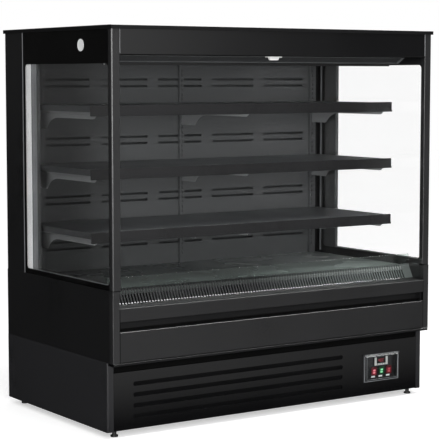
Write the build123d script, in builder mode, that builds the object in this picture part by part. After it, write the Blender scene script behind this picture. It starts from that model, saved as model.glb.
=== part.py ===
"""Open multideck display fridge: a plug-in chiller with an open front, three shelves and glazed ends.

Frame: millimetres, origin on the floor under the middle, +X to the right seen from the front,
+Y to the rear, +Z up. Lengths along X are widths, along Y depths, along Z heights.
"""

import math
import os

from build123d import *

os.makedirs("parts", exist_ok=True)

# ---- driving dimensions: the whole cabinet -------------------------------------------------
overall_height = 2000.0
body_width = 2004.0
body_depth = 1125.0
sheet = 2.0  # folded steel sheet
bend = 3.0  # outer bend radius of folded sheet
touch_gap = 0.5  # gap round a panel that is let in between two others

# ---- driving dimensions: ends and posts ----------------------------------------------------
post_width = 46.0
front_post_depth = 30.0
rear_post_depth = 201.5
lower_end_thickness = 38.0
base_side_thickness = 35.0
pane = 4.0
glass_unit_thickness = 40.0
edge_profile_depth = 9.0
window_top_margin = 180.0  # from the cap's underside to the clear glass
window_bottom_margin = 26.5
post_edge_radius = 8.0

# ---- driving dimensions: heights measured from the floor ------------------------------------
foot_height = 31.0
kick_height = 289.0
lip_height = 15.4
lip_bottom = 360.0
lower_end_bottom = 376.0
fascia_top = 528.0
bumper_bottom = 578.0
bumper_top = 643.0
glass_seam = 728.5
deck_height = 712.0

# ---- driving dimensions: roof and canopy ----------------------------------------------------
roof_side_overhang = 5.0
roof_end_overhang = 8.0
roof_rim = 19.0
header_height = 138.0  # from the cap's underside to the header's lower edge
canopy_thickness = 98.0
ceiling_drop = 171.0  # from the cap's underside to the ceiling over the shelves
outlet_front_setback = 163.5
outlet_rear_setback = 217.5
outlet_thickness = 18.0
soffit_front_setback = 97.5

# ---- driving dimensions: base ---------------------------------------------------------------
base_setback = 59.0
base_edge_radius = 9.0
tray_flange = 37.0
louvre_count = 4
louvre_pitch = 54.0
louvre_height = 22.0
louvre_left_inset = 111.5  # from the kick panel's left edge
louvre_control_gap = 140.0  # from the louvres to the controls
louvre_first_height = 96.0  # lowest louvre's centre above the floor
louvre_blade_depth = 18.0

# ---- driving dimensions: lower body ----------------------------------------------------------
tank_front_setback = 34.5
tank_wall = 40.0
tank_floor = 50.0
tank_front_top = 628.0
rear_wall_thickness = 60.0
duct_depth = 97.5
riser_setback = 124.0  # front face of the clear riser behind the body's front
riser_thickness = 5.0
riser_height = 66.0
riser_grip = 12.0
grille_slot_pitch = 17.0
grille_slot_width = 8.0
grille_slot_margin = 51.0  # plain sheet at each end
grille_run = 34.0  # depth of the slotted slope
bumper_top_depth = 42.0
deck_pan_count = 3
deck_pan_gap = 1.0
deck_pan_flange = 20.0
finger_slot = 70.0

# ---- driving dimensions: shelving -------------------------------------------------------------
shelf_front_setback = 274.0
shelf_end_gap = 1.5  # between a shelf and the posts
rail_end_gap = 3.0  # between a price rail and the inner panes
shelf_flange = 30.0
shelf_rear_gap = 10.0
top_bay = 215.6
lower_bay = 272.4
slot_pitch = 104.5
slot_start = 63.1  # top of the first slot above the deck
slot_height = 14.0
slot_width = 6.0
upright_width = 30.0
upright_depth = 20.0
upright_inset = 87.0  # from the body's side to the upright's middle
bracket_thickness = 3.0
bracket_drop = 66.0
bracket_heel = 124.0
rail_height = 53.5
rail_lip = 8.0

# ---- driving dimensions: night blind -----------------------------------------------------------
blind_setback = 77.5
blind_side_gap = 16.0
blind_roll_radius = 26.0
blind_cloth_thickness = 0.5
blind_pin_radius = 5.0
blind_pin_length = 10.0
running_clearance = 0.05
blind_bar_depth = 20.0
blind_bar_height = 14.0
handle_width = 94.0
handle_drop = 20.0

# ---- driving dimensions: controls --------------------------------------------------------------
control_width = 249.0
control_height = 153.0
control_right_inset = 162.0  # from the body's side to the control panel's right edge
control_bottom = 103.0
control_rim = 9.0
control_recess = 24.0
rocker_pitch = 52.0
rocker_first = 35.0  # left rocker's centre left of the panel's middle
rocker_height_pos = 51.0  # rocker centre above the panel's lower edge
rocker_lens = (24.0, 30.0)
rocker_bezel = (38.0, 46.0)
rocker_tilt = 8.0
display_size = (100.0, 50.0)
display_screen = (58.0, 30.0)
cover_depth = 9.0
cover_wall = 2.0
cover_pin_radius = 1.5
ear_width = 5.7

# ---- driving dimensions: machine compartment -----------------------------------------------------
foot_radius = 19.0
foot_side_inset = 61.3
foot_front_inset = 40.5
foot_rear_inset = 69.5
foot_stem_radius = 6.0
foot_pad_height = 9.0
hexagon_radius = 11.0
shoulder_gap = 0.3  # between a foot's shoulder and the base
nut_radius = 13.0
nut_height = 16.0
condenser_side_gap = 147.0
condenser_width = 520.0
condenser_height = 240.0
condenser_depth = 70.0
condenser_fan_radius = 105.0
compressor_radius = 88.0
compressor_height = 180.0
evaporator_fan_radius = 95.0
evaporator_depth = 220.0
evaporator_height = 150.0
fan_blade_count = 5
shaft_radius = 4.0
shaft_flats = 12  # flats on shafts, stems and pins that turn in round bores

# ---- places worked out from the driving dimensions -------------------------------------------------
half_width = body_width / 2
front = -body_depth / 2
rear = body_depth / 2
cap_underside = overall_height - sheet
post_inner = half_width - post_width
end_inner = half_width - lower_end_thickness
base_inner = half_width - base_side_thickness
glass_inner = half_width - glass_unit_thickness
base_front = front + base_setback
glass_front = front + front_post_depth
post_front = rear - rear_post_depth
glass_rear = post_front - edge_profile_depth
window_top = cap_underside - window_top_margin
window_bottom = glass_seam + window_bottom_margin
header_bottom = cap_underside - header_height
canopy_underside = cap_underside - canopy_thickness
ceiling = cap_underside - ceiling_drop
rear_wall_front = rear - rear_wall_thickness
duct_front = rear_wall_front - duct_depth
tank_front = front + tank_front_setback
riser_front = front + riser_setback
riser_rear = riser_front + riser_thickness
shelf_front = front + shelf_front_setback
rail_face = shelf_front + 2.0
shelf_half = post_inner - shelf_end_gap
rail_half = glass_inner - rail_end_gap
upright_front = duct_front - upright_depth
upright_places = (upright_inset - half_width, 0.0, half_width - upright_inset)
kick_top = foot_height + sheet + kick_height
kick_bottom = foot_height + sheet
blind_y = front + blind_setback
roller_y = blind_y + blind_roll_radius
roller_z = canopy_underside + sheet + 3.0
blind_half = post_inner - blind_side_gap
bar_top = header_bottom + 12.0
bar_bottom = bar_top - blind_bar_height
control_right = half_width - control_right_inset
control_left = control_right - control_width
control_top = control_bottom + control_height
control_middle = (control_left + control_right) / 2
panel_face = base_front - 3.5  # front of the control panel's rim
panel_floor = base_front + control_recess
rocker_z = control_bottom + rocker_height_pos
slot_low = deck_height + slot_start


def shelf_level(wanted):
    """Return the shelf height nearest to wanted at which the bracket's hooks meet the slots."""
    return slot_low + slot_pitch * round((wanted - slot_low) / slot_pitch)


shelf_low = shelf_level(deck_height + lower_bay)
shelf_high = shelf_level(ceiling - top_bay)
shelf_mid = shelf_level((shelf_low + shelf_high) / 2)
shelf_levels = {"shelf_top": shelf_high, "shelf_middle": shelf_mid, "shelf_lower": shelf_low}


def side_plane(x):
    """A sketch plane across the width at x: its axes run to the rear and up."""
    return Plane(origin=(x, 0, 0), x_dir=(0, 1, 0), z_dir=(1, 0, 0))


def front_plane(y):
    """A sketch plane facing the customer at depth y: its axes run to the right and up."""
    return Plane(origin=(0, y, 0), x_dir=(1, 0, 0), z_dir=(0, -1, 0))


def block(x_span, y_span, z_span, mode=Mode.ADD):
    """Add a block between pairs of coordinates to the part that is open."""
    spans = (x_span, y_span, z_span)
    middle = tuple((low + high) / 2 for low, high in spans)
    with Locations(middle):
        Box(*(high - low for low, high in spans), mode=mode)


def cut_hole(x, z, radius, y_span):
    """Cut a round hole along the depth through the part that is open."""
    with BuildSketch(front_plane(y_span[0])) as hole:
        with Locations((x, z)):
            Circle(radius)
    extrude(hole.sketch, amount=y_span[0] - y_span[1], mode=Mode.SUBTRACT)


def cut_fan_opening(x, z, radius, y_span):
    """Cut a fan's opening, a polygon of many sides, through the part that is open."""
    with BuildSketch(front_plane(y_span[0])) as opening:
        with Locations((x, z)):
            RegularPolygon(radius, 24)
    extrude(opening.sketch, amount=y_span[0] - y_span[1], mode=Mode.SUBTRACT)


def folded_sheet(route, radius, x_low, x_high, side=Side.RIGHT):
    """Return a sheet folded along a route of (depth, height) points, running along the width."""
    with BuildPart() as folded:
        with BuildSketch(side_plane(x_low)):
            with BuildLine():
                FilletPolyline(*route, radius=radius)
                offset(amount=sheet, side=side)
            make_face()
        extrude(amount=x_high - x_low)
    return folded.part


def creased_sheet(route, x_low, x_high):
    """Return a sheet with sharp folds; its thickness lies to the left along the route."""
    points = [Vector(*point) for point in route]
    runs = [(after - before).normalized() for before, after in zip(points, points[1:])]
    normals = [Vector(-run.Y, run.X) for run in runs]
    moved = [points[0] + normals[0] * sheet]
    for point, before, after in zip(points[1:], normals, normals[1:]):
        moved.append(point + (before + after) * (sheet / (1 + before.dot(after))))
    moved.append(points[-1] + normals[-1] * sheet)
    with BuildPart() as creased:
        with BuildSketch(side_plane(x_low)):
            with BuildLine():
                Polyline(*points, *reversed(moved), close=True)
            make_face()
        extrude(amount=x_high - x_low)
    return creased.part


def finish(part, label):
    """Label a finished sub-part and write its STEP file."""
    part.label = label
    export_step(part, f"parts/{label}.step")


# ---- base ----------------------------------------------------------------------------------------
foot_x = half_width - foot_side_inset
foot_places = {
    "foot_front_left": (-foot_x, base_front + foot_front_inset),
    "foot_front_right": (foot_x, base_front + foot_front_inset),
    "foot_rear_left": (-foot_x, rear - foot_rear_inset),
    "foot_rear_right": (foot_x, rear - foot_rear_inset),
}
tray_front = base_front + 19.5
tray_rear = rear - sheet


def make_base_tray():
    """Floor tray of the machine compartment, with a hexagonal nut over each foot."""
    with BuildPart() as base_tray:
        floor_span = (foot_height, foot_height + sheet)
        block((-base_inner, base_inner), (tray_front, tray_rear), floor_span)
        flange_span = (foot_height, foot_height + sheet + tray_flange)
        block((-base_inner, base_inner), (tray_front, tray_front + sheet), flange_span)
        block((-base_inner, base_inner), (tray_rear - sheet, tray_rear), flange_span)
        with BuildSketch(Plane.XY.offset(foot_height)):
            with Locations(*foot_places.values()):
                RegularPolygon(nut_radius, 6)
        extrude(amount=sheet + nut_height)
        with BuildSketch(Plane.XY.offset(foot_height)):
            with Locations(*foot_places.values()):
                Circle(foot_stem_radius + running_clearance)
        extrude(amount=sheet + nut_height, mode=Mode.SUBTRACT)
    finish(base_tray.part, "base_tray")


def make_feet():
    """Four levelling feet: a fluted pad, a hexagon to turn it by and a plain stem in the nut."""
    flutes = 20
    for label, (x, y) in foot_places.items():
        with BuildPart() as foot:
            with BuildSketch(Plane.XY):
                with Locations((x, y)):
                    RegularPolygon(foot_radius, flutes)
            extrude(amount=foot_pad_height)
            with BuildSketch(Plane.XY.offset(foot_pad_height)):
                with Locations((x, y)):
                    RegularPolygon(hexagon_radius, 6)
            extrude(amount=foot_height - shoulder_gap - foot_pad_height)
            with BuildSketch(Plane.XY.offset(foot_height - shoulder_gap)):
                with Locations((x, y)):
                    RegularPolygon(foot_stem_radius, shaft_flats)
            extrude(amount=shoulder_gap + sheet + nut_height - 2)
        finish(foot.part, label)


def make_base_sides():
    """Plinth side panels with a rounded front edge."""
    for label, sign in (("base_side_left", -1), ("base_side_right", 1)):
        x_span = sorted((sign * base_inner, sign * half_width))
        with BuildPart() as base_side:
            block(x_span, (base_front, rear), (foot_height, lower_end_bottom))
            outer = base_side.edges().filter_by(Axis.Z).group_by(Axis.Y)[0].sort_by(Axis.X)
            fillet(outer[0 if sign < 0 else -1], base_edge_radius)
        finish(base_side.part, label)


def make_kick_grille():
    """Front kick panel: folded edges, pressed louvres and the opening for the controls."""
    left = touch_gap - base_inner
    right = base_inner - touch_gap
    fold = tray_front - base_front
    route = [(base_front + fold, kick_top), (base_front, kick_top)]
    route += [(base_front, kick_bottom), (base_front + fold, kick_bottom)]
    slot_left = left + louvre_left_inset
    slot_right = control_left - louvre_control_gap
    with BuildPart() as kick_grille:
        add(folded_sheet(route, bend, left, right, Side.LEFT))
        with BuildSketch(front_plane(base_front - 1)):
            for row in range(louvre_count):
                with Locations(((slot_left + slot_right) / 2, louvre_first_height + row * louvre_pitch)):
                    Rectangle(slot_right - slot_left, louvre_height)
            with Locations((control_middle, (control_bottom + control_top) / 2)):
                Rectangle(control_width - 2 * control_rim + 2, control_height - 2 * control_rim + 2)
        extrude(amount=-sheet - 2, mode=Mode.SUBTRACT)
        with BuildSketch(side_plane(slot_left)):
            for row in range(louvre_count):
                top = louvre_first_height + row * louvre_pitch + louvre_height / 2
                back = base_front + louvre_blade_depth
                with BuildLine():
                    Polyline(
                        (base_front + sheet / 2, top + sheet),
                        (back, top - louvre_height + sheet),
                        (back, top - louvre_height),
                        (base_front + sheet / 2, top),
                        close=True,
                    )
                make_face()
        extrude(amount=slot_right - slot_left)
    finish(kick_grille.part, "kick_grille")


def make_rear_grille():
    """Rear cover of the machine compartment with rows of air slots."""
    slot_rows = 4
    slot_size = (480.0, 14.0)
    with BuildPart() as rear_grille:
        block((-base_inner, base_inner), (rear - sheet, rear), (foot_height, lower_end_bottom))
        with BuildSketch(front_plane(rear - sheet - 1)):
            with Locations((0, (foot_height + lower_end_bottom) / 2)):
                with GridLocations(slot_size[0] + 110, 3 * slot_size[1], 3, slot_rows):
                    Rectangle(*slot_size)
        extrude(amount=-sheet - 2, mode=Mode.SUBTRACT)
    finish(rear_grille.part, "rear_grille")


# ---- controls --------------------------------------------------------------------------------------
rocker_places = {
    "rocker_left": control_middle - rocker_first,
    "rocker_middle": control_middle - rocker_first + rocker_pitch,
    "rocker_right": control_middle - rocker_first + 2 * rocker_pitch,
}
rocker_y = panel_floor - 5.0
bezel_rise = 8.0
rocker_gap = 0.3
cover_back = panel_face - 1.0
cover_pivot = (cover_back - 1.5, control_top - 4.5)
cover_side = control_width / 2 - ear_width - touch_gap


def make_control_panel():
    """Moulded control panel: rim on the kick panel, recessed floor, switch bezels and hinge ears."""
    rim_span = (panel_face, base_front)
    well = (control_width / 2 - control_rim, control_height / 2 - control_rim)
    middle_z = (control_bottom + control_top) / 2
    with BuildPart() as control_panel:
        block((control_left, control_right), rim_span, (control_bottom, control_top))
        well_x = (control_middle - well[0], control_middle + well[0])
        well_z = (middle_z - well[1], middle_z + well[1])
        block(well_x, (base_front, panel_floor + sheet), well_z)
        inside_x = (well_x[0] + sheet, well_x[1] - sheet)
        inside_z = (well_z[0] + sheet, well_z[1] - sheet)
        block(inside_x, (panel_face, panel_floor), inside_z, mode=Mode.SUBTRACT)
        with BuildSketch(front_plane(panel_floor)):
            for x in rocker_places.values():
                with Locations((x, rocker_z)):
                    Rectangle(*rocker_bezel)
            chamfer(vertices(), rocker_bezel[0] * 0.22)
        extrude(amount=bezel_rise)
        with BuildSketch(front_plane(panel_floor - bezel_rise)):
            for x in rocker_places.values():
                with Locations((x, rocker_z)):
                    Rectangle(rocker_lens[0] + 2 * rocker_gap, rocker_lens[1] + 5)
        extrude(amount=-bezel_rise - sheet, mode=Mode.SUBTRACT)
        for sign in (-1, 1):
            outer = control_middle + sign * control_width / 2
            ear_x = sorted((outer, outer - sign * ear_width))
            ear_y = (cover_pivot[0] - 4, panel_face)
            block(ear_x, ear_y, (cover_pivot[1] - 4.5, cover_pivot[1] + 4.5))
        with BuildSketch(side_plane(control_left)):
            with Locations(cover_pivot):
                Circle(cover_pin_radius + running_clearance)
        extrude(amount=control_width, mode=Mode.SUBTRACT)
    finish(control_panel.part, "control_panel")


def make_control_cover():
    """Clear cover over the controls: a shallow bevelled tray hung on two pins at its top edge."""
    face_inset = 11.0
    z_low = control_bottom + 2
    z_high = cover_pivot[1] + 1.5
    middle_z = (z_low + z_high) / 2
    with BuildPart() as control_cover:
        with BuildSketch(front_plane(cover_back)):
            with Locations((control_middle, middle_z)):
                Rectangle(2 * cover_side, z_high - z_low)
        with BuildSketch(front_plane(cover_back - cover_depth)):
            with Locations((control_middle, middle_z)):
                Rectangle(2 * (cover_side - face_inset), z_high - z_low - 2 * face_inset)
        loft(ruled=True)
        back_face = control_cover.faces().sort_by(Axis.Y)[-1]
        offset(amount=-cover_wall, openings=back_face)
        for sign in (-1, 1):
            edge = control_middle + sign * cover_side
            with BuildSketch(side_plane(edge - sign * 6)):
                with Locations(cover_pivot):
                    RegularPolygon(cover_pin_radius, shaft_flats)
            extrude(amount=sign * (6 + touch_gap + ear_width - 1))
    finish(control_cover.part, "control_cover")


def make_rockers():
    """Three rocker switches: a shallow V face and a back rounded about the pivot, tipped at rest."""
    half_height = rocker_lens[1] / 2
    back_radius = 11.0
    face = -6.0
    for label, x in rocker_places.items():
        tip = math.radians(rocker_tilt)
        tipped = Plane(
            origin=(x - rocker_lens[0] / 2, rocker_y, rocker_z),
            x_dir=(0, math.cos(tip), math.sin(tip)),
            z_dir=(1, 0, 0),
        )
        with BuildPart() as rocker:
            with BuildSketch(tipped):
                with BuildLine():
                    reach = back_radius * math.sin(math.radians(70))
                    back = back_radius * math.cos(math.radians(70))
                    Polyline(
                        (back, -reach),
                        (face + 3, -half_height),
                        (face, -half_height),
                        (face + 2, 0),
                        (face, half_height),
                        (face + 3, half_height),
                        (back, reach),
                    )
                    ThreePointArc((back, reach), (back_radius, 0), (back, -reach))
                make_face()
            extrude(amount=rocker_lens[0])
        finish(rocker.part, label)


def make_temperature_controller():
    """Temperature controller: a raised bezel round a set-back screen and two keys."""
    middle = (rocker_places["rocker_middle"], rocker_z + rocker_bezel[1] / 2 + 5 + display_size[1] / 2)
    with BuildPart() as temperature_controller:
        with BuildSketch(front_plane(panel_floor)):
            with Locations(middle):
                Rectangle(*display_size)
            chamfer(vertices(), 2)
        extrude(amount=7)
        with BuildSketch(front_plane(panel_floor - 7)):
            with Locations((middle[0], middle[1] + 2)):
                Rectangle(*display_screen)
        extrude(amount=-3, mode=Mode.SUBTRACT)
    finish(temperature_controller.part, "temperature_controller")


# ---- machine compartment -----------------------------------------------------------------------------
def fan_rotor(x, y, z, radius, facing):
    """Return a fan rotor on a shaft along the depth; facing is the side of the hub's cap."""
    hub_radius = radius * 0.3
    hub_depth = 26.0
    blade_chord = radius * 0.45
    pitch = math.radians(32)
    with BuildPart() as rotor:
        with BuildSketch(front_plane(y)):
            with Locations((x, z)):
                RegularPolygon(hub_radius, 2 * fan_blade_count)
        extrude(amount=-facing * hub_depth)
        with BuildSketch(front_plane(y + facing * hub_depth)):
            with Locations((x, z)):
                RegularPolygon(shaft_radius, shaft_flats)
        extrude(amount=-facing * 14)
        for blade in range(fan_blade_count):
            turn = math.radians(90 + 360 / fan_blade_count * blade)
            radial = Vector(math.cos(turn), 0, math.sin(turn))
            around = Vector(-math.sin(turn), 0, math.cos(turn))
            normal = Vector(0, 1, 0) * math.cos(pitch) + around * math.sin(pitch)
            seat = Vector(x, y + facing * hub_depth / 2, z)
            with BuildSketch(Plane(origin=seat, x_dir=radial, z_dir=normal)):
                with Locations(((hub_radius + radius) / 2 - 2, 0)):
                    Rectangle(radius - hub_radius, blade_chord)
            extrude(amount=1.2, both=True)
    return rotor.part


def add_motor(x, y, z, ring_radius, facing):
    """Add a fan motor with a shaft bore and two arms out to a ring, to the part that is open."""
    motor_half = 27.0
    motor_depth = 34.0
    arm = 8.0
    with BuildSketch(front_plane(y)) as motor:
        with Locations((x, z)):
            Rectangle(2 * motor_half, 2 * motor_half)
        chamfer(motor.vertices(), motor_half * 0.4)
    extrude(motor.sketch, amount=-facing * motor_depth)
    for low, high in ((z - ring_radius - 4, z - motor_half + 2), (z + motor_half - 2, z + ring_radius + 4)):
        arm_y = sorted((y + facing * 2, y + facing * arm))
        block((x - arm / 2, x + arm / 2), arm_y, (low, high))
    cut_hole(x, z, shaft_radius + running_clearance, sorted((y - facing, y + facing * 16)))


condenser_x = condenser_side_gap - base_inner + condenser_width / 2
condenser_front = tray_front + sheet + 6
condenser_low = foot_height + sheet
condenser_fan_z = condenser_low + condenser_height / 2
shroud_front = condenser_front + condenser_depth
shroud_depth = 60.0


def make_condenser():
    """Condenser: a finned block with end plates and a fan shroud with the motor on its arms."""
    fin_count = 12
    half = condenser_width / 2
    plate = 3.0
    groove = 9.0
    with BuildPart() as condenser:
        with BuildSketch(Plane.XY.offset(condenser_low + plate)):
            with Locations((condenser_x, condenser_front + condenser_depth / 2)):
                Rectangle(condenser_width - 2 * plate, condenser_depth - 4)
            fin_pitch = (condenser_width - 4 * plate) / fin_count
            for edge in (condenser_front + 2, condenser_front + condenser_depth - 2):
                with Locations((condenser_x, edge)):
                    with GridLocations(fin_pitch, 1, fin_count, 1):
                        Rectangle(fin_pitch * 0.5, 2 * groove, mode=Mode.SUBTRACT)
        extrude(amount=condenser_height - 2 * plate)
        for z in (condenser_low, condenser_low + condenser_height - plate):
            y_span = (condenser_front, condenser_front + condenser_depth)
            block((condenser_x - half, condenser_x + half), y_span, (z, z + plate))
        for x in (condenser_x - half, condenser_x + half - plate):
            y_span = (condenser_front, shroud_front + shroud_depth)
            block((x, x + plate), y_span, (condenser_low, condenser_low + condenser_height))
        back = (shroud_front + shroud_depth - plate, shroud_front + shroud_depth)
        span_z = (condenser_low, condenser_low + condenser_height)
        block((condenser_x - half, condenser_x + half), back, span_z)
        cut_fan_opening(condenser_x, condenser_fan_z, condenser_fan_radius + 5, (back[0] - 1, back[1] + 1))
        add_motor(condenser_x, back[0] - 1, condenser_fan_z, condenser_fan_radius + 5, 1)
    finish(condenser.part, "condenser")
    rotor_y = back[0] - 1 - touch_gap - 26
    rotor = fan_rotor(condenser_x, rotor_y, condenser_fan_z, condenser_fan_radius, 1)
    finish(rotor, "condenser_fan")


compressor_place = (80.0, 0.0)
compressor_foot = 20.0


def make_compressor():
    """Hermetic compressor: a can of many flats on a base plate with four feet and a terminal box."""
    x, y = compressor_place
    can_low = kick_bottom + compressor_foot
    with BuildPart() as compressor:
        with BuildSketch(Plane.XY.offset(can_low)):
            with Locations((x, y)):
                RegularPolygon(compressor_radius, 24)
        extrude(amount=compressor_height)
        chamfer(compressor.edges().group_by(Axis.Z)[-1], compressor_radius * 0.4, compressor_radius * 0.25)
        plate_span = (can_low - 4, can_low)
        block((x - 130, x + 130), (y - 80, y + 80), plate_span)
        with BuildSketch(Plane.XY.offset(kick_bottom)):
            with Locations((x, y)):
                with GridLocations(220, 120, 2, 2):
                    Rectangle(26, 26)
        extrude(amount=compressor_foot - 4)
        box_x = (x - compressor_radius - 22, x - compressor_radius + 14)
        block(box_x, (y - 35, y + 35), (can_low + 30, can_low + 105))
    finish(compressor.part, "compressor")


def make_condensate_tray():
    """Shallow open tray that catches the defrost water and lets it evaporate."""
    with BuildPart() as condensate_tray:
        block((340, 700), (-140, 260), (kick_bottom, kick_bottom + 60))
        top = condensate_tray.faces().sort_by(Axis.Z)[-1]
        offset(amount=-sheet, openings=top)
    finish(condensate_tray.part, "condensate_tray")


evaporator_front = 60.0
evaporator_low = lower_end_bottom + tank_floor
evaporator_half = end_inner - 84.0


def make_refrigerant_pipes():
    """Liquid and suction lines between the machine compartment and the evaporator."""
    x, y = compressor_place
    discharge_z = kick_bottom + 90
    condenser_side = condenser_x + condenser_width / 2
    pipe_y = condenser_front + condenser_depth / 2
    suction_x = x + compressor_radius
    discharge_route = [(condenser_side, pipe_y, discharge_z), (x, pipe_y, discharge_z)]
    discharge_route += [(x, y - compressor_radius, discharge_z)]
    suction_route = [(suction_x, y, discharge_z), (suction_x + 110, y, discharge_z)]
    suction_route += [(suction_x + 110, y, lower_end_bottom)]
    with BuildPart() as refrigerant_pipes:
        for route, radius in ((discharge_route, 5.0), (suction_route, 7.0)):
            with BuildLine() as path:
                Polyline(*route)
            with BuildSketch(Plane(path.line @ 0, z_dir=path.line % 0)):
                Circle(radius)
            sweep(path=path.line, transition=Transition.RIGHT)
    finish(refrigerant_pipes.part, "refrigerant_pipes")


# ---- lower body -----------------------------------------------------------------------------------------
def make_lower_tank():
    """Insulated lower tub: floor and front wall of the evaporator well."""
    with BuildPart() as lower_tank:
        with BuildSketch(side_plane(-end_inner)):
            with BuildLine():
                Polyline(
                    (tank_front, lower_end_bottom),
                    (rear_wall_front, lower_end_bottom),
                    (rear_wall_front, evaporator_low),
                    (tank_front + tank_wall, evaporator_low),
                    (tank_front + tank_wall, tank_front_top),
                    (tank_front, tank_front_top),
                    close=True,
                )
            make_face()
        extrude(amount=2 * end_inner)
    finish(lower_tank.part, "lower_tank")


def make_lower_ends():
    """Lower end panels from the plinth seam to the glazing seam."""
    for label, sign in (("lower_end_left", -1), ("lower_end_right", 1)):
        x_span = sorted((sign * end_inner, sign * half_width))
        with BuildPart() as lower_end:
            block(x_span, (front, rear), (lower_end_bottom, glass_seam))
            outer = lower_end.edges().filter_by(Axis.Z).group_by(Axis.Y)[0].sort_by(Axis.X)
            fillet(outer[0 if sign < 0 else -1], post_edge_radius)
        finish(lower_end.part, label)


def make_lower_fascia():
    """Lower front panel with a folded top edge, and the full-width lip under it."""
    groove = 1.2
    route = [(tank_front, fascia_top), (front, fascia_top), (front, lip_bottom)]
    lip_route = [(front, lip_bottom + lip_height), (front, lip_bottom)]
    lip_route += [(base_front - 2, lip_bottom), (base_front - 2, lower_end_bottom)]
    with BuildPart() as lower_fascia:
        add(folded_sheet(route, bend, -end_inner, end_inner, Side.LEFT))
        add(folded_sheet(lip_route, sheet, -half_width, half_width, Side.LEFT))
        groove_z = (lip_bottom + lip_height, lower_end_bottom)
        block((-end_inner, end_inner), (front, front + groove), groove_z, mode=Mode.SUBTRACT)
    finish(lower_fascia.part, "lower_fascia")


bumper_rear = front + bumper_top_depth
ledge_rise = 3.6


def make_bumper_rail():
    """Bumper rail under the return grille, standing proud over a shadow gap."""
    ledge_z = bumper_top + ledge_rise
    route = [(bumper_rear - touch_gap, ledge_z - 15), (bumper_rear - touch_gap, ledge_z)]
    route += [(front, bumper_top), (front, bumper_bottom), (tank_front, bumper_bottom)]
    with BuildPart() as bumper_rail:
        add(folded_sheet(route, bend, -end_inner, end_inner, Side.LEFT))
    finish(bumper_rail.part, "bumper_rail")


grille_upstand = riser_front - sheet


def make_return_air_grille():
    """Return-air grille: a sloping sheet between riser and bumper, slotted across its full width."""
    ledge_z = bumper_top + ledge_rise
    toe = (grille_upstand - grille_run, ledge_z + 3.5)
    route = [(grille_upstand, deck_height + riser_grip), (grille_upstand, deck_height), toe]
    route += [(bumper_rear, ledge_z), (bumper_rear, ledge_z - 15)]
    slot_top = deck_height - 4
    slot_front = toe[0] - 9
    slotted = 2 * (end_inner - grille_slot_margin)
    slot_count = int(slotted / grille_slot_pitch)
    with BuildPart() as return_air_grille:
        add(creased_sheet(route, -end_inner, end_inner))
        with BuildSketch(front_plane(slot_front)) as slots:
            slot_low_z = ledge_z - 20
            with Locations((0, (slot_top + slot_low_z) / 2)):
                with GridLocations(grille_slot_pitch, 1, slot_count, 1):
                    Rectangle(grille_slot_width, slot_top - slot_low_z)
        extrude(slots.sketch, amount=slot_front - grille_upstand - sheet, mode=Mode.SUBTRACT)
    finish(return_air_grille.part, "return_air_grille")


def make_front_riser():
    """Clear riser that stops goods at the front of the deck."""
    with BuildPart() as front_riser:
        y_span = (riser_front, riser_rear)
        z_span = (deck_height, deck_height + riser_height)
        block((1 - glass_inner, glass_inner - 1), y_span, z_span)
        fillet(front_riser.edges().filter_by(Axis.X).group_by(Axis.Z)[-1], 1.0)
    finish(front_riser.part, "front_riser")


def make_deck_pans():
    """Deck pans over the evaporator well, each with a finger slot and a stop for the riser."""
    pan_width = (2 * end_inner - (deck_pan_count - 1) * deck_pan_gap) / deck_pan_count
    deck_rear = duct_front - touch_gap
    with BuildPart() as deck_pans:
        for pan in range(deck_pan_count):
            left = -end_inner + pan * (pan_width + deck_pan_gap)
            x_span = (left, left + pan_width)
            block(x_span, (riser_front, deck_rear), (deck_height - sheet, deck_height))
            flange_z = (deck_height - deck_pan_flange, deck_height)
            block(x_span, (riser_front, riser_front + sheet), flange_z)
            block(x_span, (deck_rear - sheet, deck_rear), flange_z)
            finger_x = (left + (pan_width - finger_slot) / 2, left + (pan_width + finger_slot) / 2)
            finger_y = (riser_rear + 50, riser_rear + 70)
            finger_z = (deck_height - sheet, deck_height)
            block(finger_x, finger_y, finger_z, mode=Mode.SUBTRACT)
            stop_z = (deck_height - sheet / 2, deck_height + riser_grip)
            block(x_span, (riser_rear, riser_rear + sheet), stop_z)
    finish(deck_pans.part, "deck_pans")


fan_plate_y = -120.0
evaporator_fan_z = (evaporator_low + deck_height) / 2
evaporator_fan_places = {
    "evaporator_fan_left": -600.0,
    "evaporator_fan_middle": 0.0,
    "evaporator_fan_right": 600.0,
}


def make_evaporator_fans():
    """Fan plate across the well with a motor behind each opening, and the rotors on their shafts."""
    ring = evaporator_fan_radius + 6
    with BuildPart() as evaporator_fan_plate:
        y_span = (fan_plate_y, fan_plate_y + sheet)
        plate_z = (evaporator_low, deck_height - sheet)
        block((-end_inner, end_inner), y_span, plate_z)
        for x in evaporator_fan_places.values():
            cut_fan_opening(x, evaporator_fan_z, ring, (y_span[0] - 1, y_span[1] + 1))
            add_motor(x, fan_plate_y - 1, evaporator_fan_z, ring, 1)
    finish(evaporator_fan_plate.part, "evaporator_fan_plate")
    for label, x in evaporator_fan_places.items():
        rotor_y = fan_plate_y - 1 - touch_gap - 26
        rotor = fan_rotor(x, rotor_y, evaporator_fan_z, evaporator_fan_radius, 1)
        finish(rotor, label)


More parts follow.
